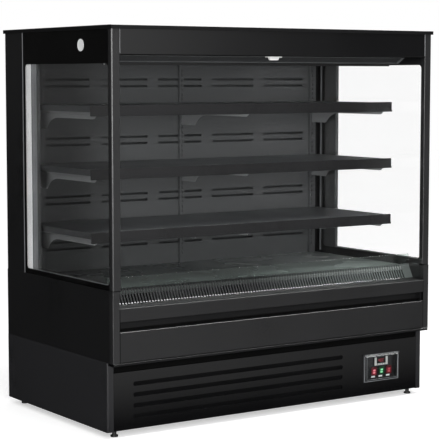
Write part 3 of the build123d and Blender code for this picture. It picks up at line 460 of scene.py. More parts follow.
LENS_DEEP = Finish("lens_deep_red", "d04a58", "e06a74", (0.08, 0.16), coat=0.6, glow=0.15)
LENS_GREEN = Finish("lens_green", "8cffb4", "b4ffd0", (0.08, 0.16), coat=0.6, glow=0.35)
SURROUND_RED = Finish("surround_red", "7a1220", "8a1828", (0.15, 0.25), coat=0.3)
SURROUND_GREEN = Finish("surround_green", "085028", "0c5a30", (0.15, 0.25), coat=0.3)
# Frosted grey that also paints the highlight on the clear cover's bevels.
FROSTED_SHEEN = Finish("frosted_edge", "808384", "94979a", (0.25, 0.4))
GLASS = Clear("clear_glass", "ffffff", "ffffff", (0.0, 0.01), ior=1.22)
RISER = Clear("clear_riser", "e4efea", "ffffff", (0.02, 0.05), ior=1.5)
COVER = Clear("clear_cover", "f2f4f4", "ffffff", (0.02, 0.06), ior=1.25)


# ---- the bench ------------------------------------------------------------------------------


def near(length: float, *others: float) -> bool:
    """Tells whether a length is the same as one of the others."""
    return any(abs(length - other) < NEAR for other in others)


def always(*_: object) -> bool:
    """Passes everything."""
    return True


class Workpiece:
    """One mesh on the bench, from its primitive to its seat on the frame."""

    def __init__(self, name: str) -> None:
        """Takes the primitive that was just added and names it."""
        self.obj: bpy.types.Object = bpy.context.object
        self.rename(name)

    def rename(self, name: str) -> "Workpiece":
        """Names the object and its mesh."""
        self.obj.name = self.obj.data.name = name
        return self

    @staticmethod
    def clear_bench() -> None:
        """Leaves edit mode and deselects everything."""
        if bpy.context.object is not None and bpy.context.object.mode != "OBJECT":
            bpy.ops.object.mode_set(mode="OBJECT")
        bpy.ops.object.select_all(action="DESELECT")

    @classmethod
    def block(cls, name: str, corner: Point, opposite: Point) -> "Workpiece":
        """Adds a block between two opposite corners.

        Args:
            name: The piece's name.
            corner: One corner.
            opposite: The corner across the block.

        Returns:
            The piece.
        """
        cls.clear_bench()
        middle = [(a + b) / 2 for a, b in zip(corner, opposite)]
        bpy.ops.mesh.primitive_cube_add(size=1.0, location=middle)
        piece = cls(name)
        piece.obj.scale = [abs(b - a) for a, b in zip(corner, opposite)]
        return piece.freeze()

    @classmethod
    def eased(cls, name: str, corner: Point, opposite: Point, along: Along, width: float,
              steps: int, test: Callable[[Vector], bool] = always) -> "Workpiece":
        """Adds a block whose edges along an axis are rounded.

        Args:
            name: The piece's name.
            corner: One corner.
            opposite: The corner across the block.
            along: The axis of the rounded edges.
            width: The width of the rounding.
            steps: How many facets it has.
            test: Takes an edge's middle and tells whether it is rounded.

        Returns:
            The piece.
        """
        return cls.block(name, corner, opposite).edges_along(along, test).bevel(width, steps).done()

    @classmethod
    def rod(cls, name: str, centre: Point, radius: float, length: float, along: Along,
            sides: int) -> "Workpiece":
        """Adds a round or many-sided rod.

        Args:
            name: The piece's name.
            centre: The rod's middle.
            radius: Its radius at the corners.
            length: Its length.
            along: Its axis.
            sides: How many sides it has.

        Returns:
            The piece.
        """
        cls.clear_bench()
        turn = {Along.X: (0, math.pi / 2, 0), Along.Y: (math.pi / 2, 0, 0), Along.Z: (0, 0, 0)}
        bpy.ops.mesh.primitive_cylinder_add(vertices=sides, radius=radius, depth=length,
                                            location=centre, rotation=turn[along])
        return cls(name).freeze()

    @classmethod
    def panel(cls, name: str, centre: Point, width: float, height: float,
              facing: Along) -> "Workpiece":
        """Adds a flat panel.

        Args:
            name: The piece's name.
            centre: The panel's middle.
            width: Its size along X, or along Y where it faces X.
            height: Its size along Z, or along Y where it faces Z.
            facing: The axis that it faces: -Y, +X or +Z.

        Returns:
            The piece.
        """
        cls.clear_bench()
        turn = {Along.X: (math.pi / 2, 0, math.pi / 2), Along.Y: (math.pi / 2, 0, 0),
                Along.Z: (0, 0, 0)}
        bpy.ops.mesh.primitive_plane_add(size=1.0, location=centre, rotation=turn[facing])
        piece = cls(name)
        piece.obj.scale = (width, height, 1.0)
        return piece.freeze()

    @classmethod
    def folded(cls, name: str, route: Sequence[Pair], span: Pair, bend: float, steps: int,
               gauge: float = 0.0, side: int = 1) -> "Workpiece":
        """Folds a sheet along a route: its runs are extruded, its folds bevelled, its gauge added.

        Args:
            name: The piece's name.
            route: The (depth, height) points of the folds.
            span: The sheet's ends along X.
            bend: The radius of its folds.
            steps: How many facets a fold has.
            gauge: The sheet's thickness, or 0 where it comes later.
            side: 1 adds the gauge on the left along the route, -1 on the right.

        Returns:
            The piece.
        """
        def at(spot: Pair, *ends: Vector) -> bool:
            """Tells whether an edge's ends lie on a point of the route."""
            return all(near(p.y, spot[0]) and near(p.z, spot[1]) for p in ends)

        cls.clear_bench()
        (y0, z0), (y1, z1) = route[:2]
        bpy.ops.mesh.primitive_plane_add(size=1.0, rotation=(math.atan2(z1 - z0, y1 - y0), 0, 0),
                                         location=(sum(span) / 2, (y0 + y1) / 2, (z0 + z1) / 2))
        piece = cls(name)
        piece.obj.scale = (span[1] - span[0], math.hypot(y1 - y0, z1 - z0), 1.0)
        piece.freeze()
        for here, there in zip(route[1:], route[2:]):
            piece.edges(lambda a, b: at(here, a, b))
            piece.extrude((0.0, there[0] - here[0], there[1] - here[1]))
        piece.edges(lambda a, b: any(at(spot, a, b) for spot in route[1:-1])).bevel(bend, steps)
        piece.done()
        return piece.thicken(gauge, side) if gauge else piece

    # -- picking --

    def edit(self) -> None:
        """Opens the piece in edit mode."""
        if self.obj.mode != "EDIT":
            self.only()
            bpy.ops.object.mode_set(mode="EDIT")

    def pick(self, kind: Pick, test: Callable[..., bool]) -> "Workpiece":
        """Selects what passes a test, and nothing else.

        Args:
            kind: Points, edges or faces.
            test: Takes a point's place, an edge's two places, or a face's middle and normal.

        Returns:
            The piece.
        """
        self.edit()
        bpy.ops.mesh.select_mode(type=kind.value)
        bpy.ops.mesh.select_all(action="DESELECT")
        mesh = bmesh.from_edit_mesh(self.obj.data)
        if kind is Pick.FACE:
            chosen = [f for f in mesh.faces if test(f.calc_center_median(), f.normal)]
        elif kind is Pick.EDGE:
            chosen = [e for e in mesh.edges if test(e.verts[0].co, e.verts[1].co)]
        else:
            chosen = [v for v in mesh.verts if test(v.co)]
        for item in chosen:
            item.select_set(True)
        mesh.select_flush_mode()
        bmesh.update_edit_mesh(self.obj.data)
        return self

    def points(self, test: Callable[[Vector], bool] = always) -> "Workpiece":
        """Selects points by their place."""
        return self.pick(Pick.POINT, test)

    def edges(self, test: Callable[[Vector, Vector], bool]) -> "Workpiece":
        """Selects edges by their two ends."""
        return self.pick(Pick.EDGE, test)

    def edges_along(self, along: Along, test: Callable[[Vector], bool] = always) -> "Workpiece":
        """Selects edges that run along an axis and whose middle passes a test.

        Args:
            along: The axis.
            test: Takes an edge's middle.

        Returns:
            The piece.
        """
        def runs(a: Vector, b: Vector) -> bool:
            """Tells whether an edge runs along the axis and passes."""
            step = b - a
            return abs(step[along.value]) > 0.99 * step.length and test((a + b) / 2)
        return self.pick(Pick.EDGE, runs)

    def faces(self, test: Callable[[Vector, Vector], bool] = always) -> "Workpiece":
        """Selects faces by middle and normal."""
        return self.pick(Pick.FACE, test)

    def towards(self, along: Along, way: int,
                test: Callable[[Vector], bool] = always) -> "Workpiece":
        """Selects faces that look along an axis.

        Args:
            along: The axis.
            way: 1 or -1 for one way along it, 0 for both.
            test: Takes a face's middle.

        Returns:
            The piece.
        """
        def looks(middle: Vector, normal: Vector) -> bool:
            """Tells whether a face looks the right way and passes."""
            share = normal[along.value]
            return (share * way if way else abs(share)) > FACING and test(middle)
        return self.pick(Pick.FACE, looks)

    # -- shaping what is picked --

    def extrude(self, by: Point) -> "Workpiece":
        """Extrudes what is picked by a step."""
        bpy.ops.mesh.extrude_region_move(TRANSFORM_OT_translate={"value": by})
        return self

    def move(self, by: Point) -> "Workpiece":
        """Moves what is picked by a step."""
        bpy.ops.transform.translate(value=by)
        return self

    def resize(self, by: Point) -> "Workpiece":
        """Scales what is picked about its middle."""
        bpy.ops.transform.resize(value=by)
        return self

    def inset(self, width: float, depth: float = 0.0) -> "Workpiece":
        """Insets the picked faces by a width, and sinks them by a depth."""
        bpy.ops.mesh.inset(thickness=width, depth=depth, use_even_offset=True)
        return self

    def bevel(self, width: float, steps: int, corners: bool = False) -> "Workpiece":
        """Rounds the picked edges, or the picked corners of a flat panel."""
        bpy.ops.mesh.bevel(offset=width, segments=steps, affect="VERTICES" if corners else "EDGES")
        return self

    def divide(self, cuts: int) -> "Workpiece":
        """Divides the picked edges."""
        bpy.ops.mesh.subdivide(number_cuts=cuts)
        return self

    def remove_faces(self) -> "Workpiece":
        """Deletes the picked faces and leaves edit mode."""
        bpy.ops.mesh.delete(type="FACE")
        return self.done()

    def slice(self, across: Along, *places: float) -> "Workpiece":
        """Cuts the whole mesh across an axis at each place, and keeps both sides.

        Args:
            across: The axis.
            places: Where the cuts are on it.

        Returns:
            The piece.
        """
        normal = [float(axis is across) for axis in Along]
        for place in places:
            self.edit()
            bpy.ops.mesh.select_all(action="SELECT")
            bpy.ops.mesh.bisect(plane_co=[place * share for share in normal], plane_no=normal)
        return self

    def done(self) -> "Workpiece":
        """Leaves edit mode."""
        self.clear_bench()
        return self

    # -- the whole piece --

    def only(self) -> None:
        """Makes the piece the only selected object."""
        self.clear_bench()
        self.obj.select_set(True)
        bpy.context.view_layer.objects.active = self.obj

    def freeze(self) -> "Workpiece":
        """Puts the piece's place, turn and scale into its mesh.

        Returns:
            The piece.
        """
        self.only()
        bpy.ops.object.transform_apply(location=True, rotation=True, scale=True)
        return self

    def set_down(self, place: Sequence[float], tip: float) -> "Workpiece":
        """Tips the piece about X, moves it to its place and freezes it.

        Args:
            place: Where its origin goes.
            tip: The angle about X.

        Returns:
            The piece.
        """
        self.obj.rotation_euler = (tip, 0.0, 0.0)
        self.obj.location = place
        return self.freeze()

    def modify(self, kind: str, **settings: object) -> "Workpiece":
        """Adds a modifier and applies it.

        Args:
            kind: The modifier's Blender type.
            settings: Its properties.

        Returns:
            The piece.
        """
        self.only()
        added = self.obj.modifiers.new(kind.lower(), kind)
        for key, value in settings.items():
            setattr(added, key, value)
        bpy.ops.object.modifier_apply(modifier=added.name)
        return self

    def thicken(self, gauge: float, side: int = 1) -> "Workpiece":
        """Gives an open sheet its gauge, on its normal's side where side is 1."""
        return self.modify("SOLIDIFY", thickness=gauge, offset=float(side), use_even_offset=True)

    def soften(self, width: float, steps: int = 2, angle: float = 40.0) -> "Workpiece":
        """Rounds all edges that are sharper than an angle.

        Args:
            width: The width of the rounding.
            steps: How many facets it has.
            angle: The angle in degrees.

        Returns:
            The piece.
        """
        return self.modify("BEVEL", width=width, segments=steps, limit_method="ANGLE",
                           angle_limit=math.radians(angle), use_clamp_overlap=True,
                           harden_normals=False)

    def tiled(self, count: int, step: Point) -> "Workpiece":
        """Repeats the piece a number of times, a step apart, and merges the tiles.

        Args:
            count: How many tiles there are.
            step: The step from one tile to the next.

        Returns:
            The piece.
        """
        return self.modify("ARRAY", count=count, use_relative_offset=False,
                           use_constant_offset=True, constant_offset_displace=step,
                           use_merge_vertices=True, merge_threshold=1e-5)

    def cut(self, *cutters: "Workpiece") -> "Workpiece":
        """Cuts other pieces out of this one and removes them.

        Args:
            cutters: The other pieces.

        Returns:
            The piece.
        """
        for cutter in cutters:
            self.modify("BOOLEAN", operation="DIFFERENCE", object=cutter.obj, solver="EXACT")
            bpy.data.objects.remove(cutter.obj)
        return self

    def copies(self, steps: dict[str, Sequence[float]]) -> list["Workpiece"]:
        """Copies the piece, each copy with a mesh of its own.

        Args:
            steps: The step from the piece to each copy, by the copy's name.

        Returns:
            The copies, and the piece itself as the last.
        """
        made = []
        for name, step in steps.items():
            self.only()
            bpy.ops.object.duplicate(linked=False)
            twin = Workpiece(name)
            twin.obj.location = step
            made.append(twin.freeze())
        return [*made, self]

    def join(self, *others: "Workpiece") -> "Workpiece":
        """Joins other pieces into this one.

        Args:
            others: The other pieces.

        Returns:
            The piece.
        """
        self.only()
        for other in others:
            other.obj.select_set(True)
        bpy.context.view_layer.objects.active = self.obj
        bpy.ops.object.join()
        return self

    def seat(self, finish: Finish, *stands_for: str, body: str = "cabinet",
             slot: str = "body_black", angle: float = 32.0) -> "Workpiece":
        """Gives the piece its finish and puts it on the frame.

        Args:
            finish: Its finish.
            stands_for: The nodes that it replaces.
            body: The moving body that carries it.
            slot: The record's material slot; not used.
            angle: Faces that meet under this angle are shaded smooth.

        Returns:
            The piece.
        """
        self.only()
        bpy.ops.object.shade_smooth_by_angle(angle=math.radians(angle))
        self.modify("WEIGHTED_NORMAL", weight=100, keep_sharp=True)
        self.obj.data.materials.clear()
        self.obj.data.materials.append(finish.material())
        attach(self.obj, body)
        if stands_for:
            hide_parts(*stands_for)
        LOG.info("%s: %d faces on %s", self.obj.name, len(self.obj.data.polygons), body)
        return self


def dress(finish: Finish, *names: str) -> None:
    """Gives carried-over nodes their finish.

    Args:
        finish: The finish.
        names: The nodes.
    """
    for name in names:
        node = NODES[name]
        for slot in node.material_slots:
            slot.material = finish.material()
        if not node.material_slots:
            node.data.materials.append(finish.material())
        LOG.info("%s: %s", name, finish.name)


# ---- sub-assemblies -------------------------------------------------------------------------


@dataclass
class GlazedEnd:
    """One glazed end: printed border, inner seal, cover strips, post and lower end."""

    word: str
    side: int
    half: float = 1.002
    inner: float = 0.962
    post_inner: float = 0.956
    glass: Pair = (-0.5325, 0.352)
    seam: float = 0.7285
    end_inner: float = 0.964
    sole: float = 0.376
    top: float = 1.998
    window: tuple[float, float, float, float] = (-0.5275, 0.330, 0.755, 1.818)
    corner: float = 0.020
    rim: float = 0.001
    cover_y: Point = (0.229, 0.274, 0.342)
    cover_gauge: float = 0.0012

    def build(self) -> None:
        """Models the end's pieces and dresses its nodes."""
        low, high = self.window[2:]
        self.border("printed_border", self.half - 0.0030, (self.seam, self.top), 0.0002, FRIT)
        self.border("glazing_seal", self.inner - 0.0004, (low - 0.012, high + 0.012), 0.0012, SEAL)
        dress(GLASS, f"side_glass_{self.word}")
        self.cover_strips()
        self.post()
        self.lower_end()
        dress(BODY, f"rear_post_{self.word}")
        dress(BASE_SIDE_LIT, f"base_side_{self.word}")

    def border(self, kind: str, x: float, ends: Pair, gauge: float, finish: Finish) -> None:
        """Models a flat border round the window, with rounded inner corners.

        Args:
            kind: The piece's name without its side.
            x: How far it stands from the fridge's middle.
            ends: Its lower and upper edges.
            gauge: Its thickness.
            finish: Its finish.
        """
        (front, rear), (low, high) = self.glass, ends
        centre = (self.side * x, (front + rear) / 2, (low + high) / 2)
        border = Workpiece.panel(f"{kind}_{self.word}", centre, rear - front, high - low, Along.X)
        border.faces().inset(self.rim)
        y0, y1, z0, z1 = self.window
        for y, was_y in ((y0, front + self.rim), (y1, rear - self.rim)):
            for z, was_z in ((z0, low + self.rim), (z1, high - self.rim)):
                border.points(lambda p: near(p.y, was_y) and near(p.z, was_z))
                border.move((0.0, y - was_y, z - was_z))
        border.points(lambda p: near(p.y, y0, y1) and near(p.z, z0, z1))
        border.bevel(self.corner, 6, corners=True)
        border.faces(lambda c, n: y0 + 0.1 < c.y < y1 - 0.1 and z0 + 0.2 < c.z < z1 - 0.2)
        border.remove_faces().thicken(gauge, 0).seat(finish)

    def pressed(self, strip: Workpiece, lines: Sequence[Pair], by: float) -> Workpiece:
        """Presses upright lines into a strip's outer face.

        Args:
            strip: The strip.
            lines: Each line's front and rear edge.
            by: How far the lines move away from the fridge's middle.

        Returns:
            The strip.
        """
        strip.slice(Along.Y, *(y for line in lines for y in line))
        strip.towards(Along.X, self.side, lambda c: any(a < c.y < b for a, b in lines))
        return strip.move((self.side * by, 0.0, 0.0)).done()

    def cover_strips(self) -> None:
        """Models the folded cover between the panes, in front of their rear edges, and the sill."""
        front, fold, rear = self.cover_y
        low, high = self.window[2] - 0.01, self.window[3] + 0.01
        outer, deep, inner = (self.side * x for x in (0.9950, 0.9890, 0.9675))
        gauge = self.side * self.cover_gauge
        # The outer strip glows faintly: painted light and reflection.
        strip = Workpiece.eased(f"pane_cover_{self.word}", (outer, fold, low),
                                (outer - gauge, rear, high), Along.Z, 0.0005, 2,
                                lambda m: near(m.x, outer))
        lines = ((fold + 0.010, fold + 0.014), (rear - 0.026, rear - 0.022))
        self.pressed(strip, lines, -0.0008).seat(COVER_STRIP_GLOW, slot="profile_aluminium")
        lower = Workpiece.block(f"pane_cover_fold_{self.word}", (deep, front, low),
                                (deep - gauge, fold + 0.003, high))
        lines = ((front + 0.014, front + 0.018), (front + 0.030, front + 0.034))
        self.pressed(lower, lines, 0.0010).seat(COVER_FOLD, slot="profile_aluminium")
        back = Workpiece.eased(f"pane_cover_back_{self.word}",
                               (deep - self.side * 0.0014, front - 0.004, low),
                               (inner, rear, high), Along.Z, 0.003, 3, lambda m: near(m.x, inner))
        back.seat(INNER, slot="inner_grey")
        sill = Workpiece.eased(f"pane_sill_{self.word}",
                               (self.side * 0.9944, self.window[0] + 0.001, low + 0.003),
                               (self.side * 0.9930, fold - 0.001, self.window[2] + 0.0034),
                               Along.Y, 0.0005, 2, lambda m: m.z > self.window[2])
        sill.seat(COVER_FOLD, slot="profile_aluminium")

    def lower_end(self) -> None:
        """Models the lower end: its front strip, its side panel and the joint under the post."""
        inner_x, outer_x = self.side * self.end_inner, self.side * self.half
        glass_front = self.glass[0]
        for part, front, rear, top, radius, paint in (
                ("strip", FRONT_Y, glass_front - 0.0006, self.seam - 0.0010, 0.005, POST),
                ("panel", glass_front, -FRONT_Y, self.seam, 0.002, BODY)):
            piece = Workpiece.eased(
                f"lower_end_{part}_{self.word}", (inner_x, front, self.sole), (outer_x, rear, top),
                Along.Z, radius, 6, lambda m: abs(m.y) > -FRONT_Y - NEAR and near(m.x, outer_x))
            piece.soften(0.0010, 2, 50.0).seat(paint, f"lower_end_{self.word}")
        outer_x = self.side * (self.half - 0.0012)
        joint = Workpiece.eased(f"post_joint_{self.word}",
                                (self.side * self.post_inner, FRONT_Y + 0.0016, self.seam - 0.004),
                                (outer_x, glass_front - 0.001, self.seam + 0.004),
                                Along.Z, 0.006, 4, lambda m: near(m.x, outer_x))
        joint.seat(SHADE)

    def post(self) -> None:
        """Models the front post with a broad outer rounding."""
        outer_x = self.side * self.half
        post = Workpiece.block(f"front_post_{self.word}_profile",
                               (self.side * self.post_inner, FRONT_Y, self.seam + 0.0030),
                               (outer_x, self.glass[0], self.top))
        post.edges_along(Along.Z, lambda m: near(m.y, FRONT_Y) and near(m.x, outer_x))
        post.bevel(0.009, 6)
        post.edges_along(Along.Z, lambda m: near(m.y, FRONT_Y) and abs(m.x - outer_x) > 0.04)
        post.bevel(0.003, 4).soften(0.0006, 1, 50.0).seat(POST, f"front_post_{self.word}")


@dataclass
class EndDiscs:
    """The dished blank discs on the outer panes."""

    radius: float = 0.030
    depth: float = 0.003
    place: Pair = (-0.268, 1.908)
    half: float = 1.002

    def build(self) -> None:
        """Models the disc on each end."""
        for word, side in SIDES:
            centre = (side * (self.half + self.depth / 2), *self.place)
            disc = Workpiece.rod(f"end_disc_{word}", centre, self.radius, self.depth, Along.X, 48)
            disc.towards(Along.X, side).inset(0.004).inset(0.0025, -0.0012).inset(0.012)
            disc.inset(0.002, 0.0008).soften(0.0005)
            disc.seat(DISC, "side_discs", slot="white_plastic")


@dataclass
class Header:
    """The header: fascia, its end trims of painted highlight, its dark drip edge that also paints
    shade, air outlet and lamp.
    """

    half: float = 0.956
    low: float = 1.860
    high: float = 1.998
    soffit: float = 0.0575
    trim: float = 0.0026
    vane_gap: float = 0.0065
    vane: float = 0.0009
    ribs: int = 30
    rib: float = 0.0016
    outlet_slope: Pair = (0.033, 0.054)
    outlet_length: float = 0.0503
    outlet_thick: float = 0.018
    outlet_rim: float = 0.004

    def build(self) -> None:
        """Models the header's pieces and dresses its nodes."""
        dress(CAP, "roof_cap")
        dress(BODY, "end_rails")
        dress(INNER, "canopy", "ceiling_panel")
        dress(PROFILE, "glass_edge_profiles")
        self.fascia()
        self.outlet()
        self.lamp()
        self.drip_edge()

    def fascia(self) -> None:
        """Models the fascia, folded under the header and over its top, and its end trims, pale
        strips that paint the highlight on its end edges.
        """
        back = FRONT_Y + self.soffit
        route = [(back, self.low + 0.020), (back, self.low), (FRONT_Y, self.low),
                 (FRONT_Y, self.high), (FRONT_Y + 0.022, self.high)]
        sheet = Workpiece.folded("header_fascia_sheet", route, (-self.half, self.half), 0.0035, 5,
                                 0.002, -1)
        sheet.seat(HEADER, "header_fascia")
        # Pale grey strips: a painted highlight on the fascia's end edges.
        trim = Workpiece.eased("fascia_trim_left", (-self.half, FRONT_Y - 0.0006, self.low + 0.006),
                               (-self.half + self.trim, FRONT_Y + 0.002, self.high - 0.014),
                               Along.Z, 0.0006, 3, lambda m: m.y < FRONT_Y)
        for piece in trim.copies({"fascia_trim_right": (2 * self.half - self.trim, 0.0, 0.0)}):
            piece.seat(EDGE_HIGHLIGHT, slot="outlet_grey")

    def drip_edge(self) -> None:
        """Models the dark drip edge under the fascia, whose near-black also paints the shade line
        under the header.
        """
        strip = Workpiece.eased("header_drip_edge",
                                (-self.half, FRONT_Y + 0.0008, self.low - 0.0042),
                                (self.half, FRONT_Y + 0.0048, self.low + 0.0004),
                                Along.X, 0.0008, 2, lambda m: m.z < self.low - 0.004)
        strip.seat(SHADE)

    def outlet(self) -> None:
        """Models the air outlet: long vanes crossed by thin ribs, in a rimmed frame."""
        low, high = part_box("air_outlet")
        x, rim = (high.x - low.x) / 2, self.outlet_rim
        y, z = self.outlet_length / 2, self.outlet_thick / 2
        case = Workpiece.block("outlet_frame", (-x, -y, -z), (x, y, z))
        case.towards(Along.Z, 0).inset(rim)
        case.cut(Workpiece.block("hole", (-x + rim, -y + rim, -2 * z), (x - rim, y - rim, 2 * z)))
        parts = []
        count = int((2 * y - 2 * rim) / self.vane_gap)
        for index in range(1, count):
            at = -y + rim + index * (2 * y - 2 * rim) / count
            parts.append(Workpiece.block("vane", (-x + 0.003, at - self.vane / 2, -z + 0.001),
                                         (x - 0.003, at + self.vane / 2, z - 0.001)))
        for index in range(1, self.ribs):
            at = -x + index * (2 * x) / self.ribs
            parts.append(Workpiece.block("rib", (at - self.rib / 2, -y + 0.003, -z + 0.002),
                                         (at + self.rib / 2, y - 0.003, z - 0.002)))
        centre = [(a + b) / 2 for a, b in zip(low, high)]
        case.join(*parts).set_down(centre, -math.atan2(*self.outlet_slope))
        case.seat(OUTLET, "air_outlet", slot="outlet_grey")

    def lamp(self) -> None:
        """Models the lamp: a black folded housing round a pale diffuser that looks down."""
        low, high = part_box("canopy_lamp")
        rear, front, top = high.y - 0.001, low.y + 0.0006, high.z - 0.0014
        route = [(rear, low.z + 0.002), (rear, top), (front, top), (front, low.z + 0.001),
                 (low.y + 0.005, low.z + 0.0004)]
        housing = Workpiece.folded("lamp_housing", route, (low.x, high.x), 0.0018, 4, 0.0010)
        housing.seat(BODY, "canopy_lamp")
        diffuser = Workpiece.eased("lamp_diffuser_bar",
                                   (low.x + 0.004, low.y + 0.006, low.z + 0.002),
                                   (high.x - 0.004, high.y - 0.0035, high.z - 0.004),
                                   Along.X, 0.005, 5, lambda m: m.z < low.z + 0.004)
        diffuser.seat(DIFFUSER, slot="lamp_diffuser")


@dataclass
class Shelving:
    """Shelves, price rails, brackets, uprights and the duct panel."""

    rail_half: float = 0.959
    rail_face: float = -0.2865
    rail_height: float = 0.0535
    rail_gauge: float = 0.0012
    levels: Point = (0.9841, 1.2976, 1.6111)
    upright_x: Point = (-0.915, 0.0, 0.915)
    upright_face: float = 0.385
    upright_z: Pair = (0.712, 1.827)
    slot_pitch: float = 0.026125
    slot_top: float = 0.7751

    def build(self) -> None:
        """Models the shelving's pieces and dresses its nodes."""
        dress(SHELF, "shelf_top", "shelf_middle", "shelf_lower")
        dress(INNER, "duct_panel")
        self.rails()
        self.brackets()
        self.uprights()

    def rails(self) -> None:
        """Models one price rail with its curled lip, and copies it to each shelf."""
        top = self.levels[0] + 0.0034
        low, face = top - self.rail_height, self.rail_face
        route = [(face + 0.010, top), (face, top), (face, low + 0.001),
                 (face - 0.0030, low + 0.0006), (face - 0.0030, low + 0.0085)]
        rail = Workpiece.folded("price_rail_lower", route, (-self.rail_half, self.rail_half),
                                0.0012, 3, self.rail_gauge)
        steps = {f"price_rail_{word}": (0.0, 0.0, level - self.levels[0])
                 for word, level in zip(("middle", "top"), self.levels[1:])}
        for piece in rail.copies(steps):
            piece.seat(RAIL, "price_rails", slot="rail_black")

    def bracket(self, x: float, level: float) -> Workpiece:
        """Models a bracket: an arm with a rounded nose and a concave gusset at its heel.

        Args:
            x: Where it stands along the width.
            level: Its shelf's height.

        Returns:
            The bracket.
        """
        nose, back = -0.2685, self.upright_face - 0.0003
        under, low, heel = level - 0.0021, level - 0.066, level - 0.124
        knee, reach, cuts = back - 0.132, 0.104, 8
        arm = Workpiece.panel("shelf_bracket", (x, (nose + back) / 2, (under + low) / 2),
                              back - nose, under - low, Along.X)
        arm.slice(Along.Y, knee)
        arm.edges(lambda a, b: near(a.z, low) and near(b.z, low) and (a.y + b.y) / 2 > knee)
        arm.extrude((0.0, 0.0, heel - low))
        arm.points(lambda p: near(p.y, nose) and near(p.z, low)).bevel(0.030, 5, corners=True)
        arm.points(lambda p: near(p.y, knee) and near(p.z, low)).move((0.0, -reach, 0.0))
        arm.edges(lambda a, b: min(a.z, b.z) < low - 0.03 < max(a.z, b.z)
                  and max(a.y, b.y) < back - 0.05).divide(cuts)
        for step in range(1, cuts + 1):
            share = step / (cuts + 1)
            y, z = back - 0.236 + reach * share, low + (heel - low) * share
            bow = math.sin(math.pi * share) * 0.0135
            arm.points(lambda p: near(p.y, y) and near(p.z, z)).move((0.0, bow * 0.49, bow * 0.87))
        for line in (level - 0.020, level - 0.040):
            arm.slice(Along.Z, *(line - edge for edge in (0.0, 0.0016, 0.0044, 0.006)))
            arm.faces(lambda c, n: line - 0.0044 < c.z < line - 0.0016).move((0.0018, 0.0, 0.0))
        arm.done().thicken(0.0024, 0)
        for z in (level - 0.1185, level - 0.014):
            arm.join(Workpiece.eased("hook", (x - 0.0014, back - 0.001, z),
                                     (x + 0.0014, back + 0.0078, z + 0.009), Along.X, 0.003, 3,
                                     lambda m: m.y > back + 0.007 and m.z > z + 0.008))
        return arm

    def brackets(self) -> None:
        """Models one bracket and copies it to each upright and shelf."""
        first_x, first_level = self.upright_x[0], self.levels[0]
        steps = {f"shelf_bracket_{row}_{column}": (x - first_x, 0.0, level - first_level)
                 for row, level in enumerate(self.levels)
                 for column, x in enumerate(self.upright_x) if row or column}
        for piece in self.bracket(first_x, first_level).copies(steps):
            piece.seat(BRACKET, "shelf_brackets", slot="inner_grey")

    def uprights(self) -> None:
        """Models a slotted tile, repeats it up the channel and copies the channel."""
        low, high = self.upright_z
        x, pitch, half, rim = self.upright_x[0], self.slot_pitch, 0.015, 0.001
        slot_half, slot_height, above = 0.0033, 0.0145, 0.006
        tiles = int((high - self.slot_top) / pitch)
        tile = Workpiece.panel("slotted_upright_left",
                               (x, self.upright_face, self.slot_top - pitch / 2 + above),
                               2 * half, pitch, Along.Y)
        tile.faces().inset(rim)
        base, top = self.slot_top - pitch + above, self.slot_top + above
        for was, now in ((x - half + rim, x - slot_half), (x + half - rim, x + slot_half)):
            for was_z, now_z in ((base + rim, self.slot_top - slot_height),
                                 (top - rim, self.slot_top)):
                tile.points(lambda p: near(p.x, was) and near(p.z, was_z))
                tile.move((now - was, 0.0, now_z - was_z))
        tile.faces(lambda c, n: near(c.x, x) and 0.004 < self.slot_top - c.z < 0.010)
        tile.remove_faces().tiled(tiles, (0.0, 0.0, pitch))
        for end, reach in ((base, low), (base + tiles * pitch, high)):
            tile.edges(lambda a, b: near(a.z, end) and near(b.z, end))
            tile.extrude((0.0, 0.0, reach - end))
        for edge in (x - half, x + half):
            tile.edges(lambda a, b: near(a.x, edge) and near(b.x, edge)).extrude((0.0, 0.0195, 0.0))
        tile.done().thicken(0.0019, -1)
        steps = {f"slotted_upright_{word}": (place - x, 0.0, 0.0)
                 for word, place in zip(("middle", "right"), self.upright_x[1:])}
        for piece in tile.copies(steps):
            piece.seat(INNER, "slotted_uprights", slot="inner_grey")


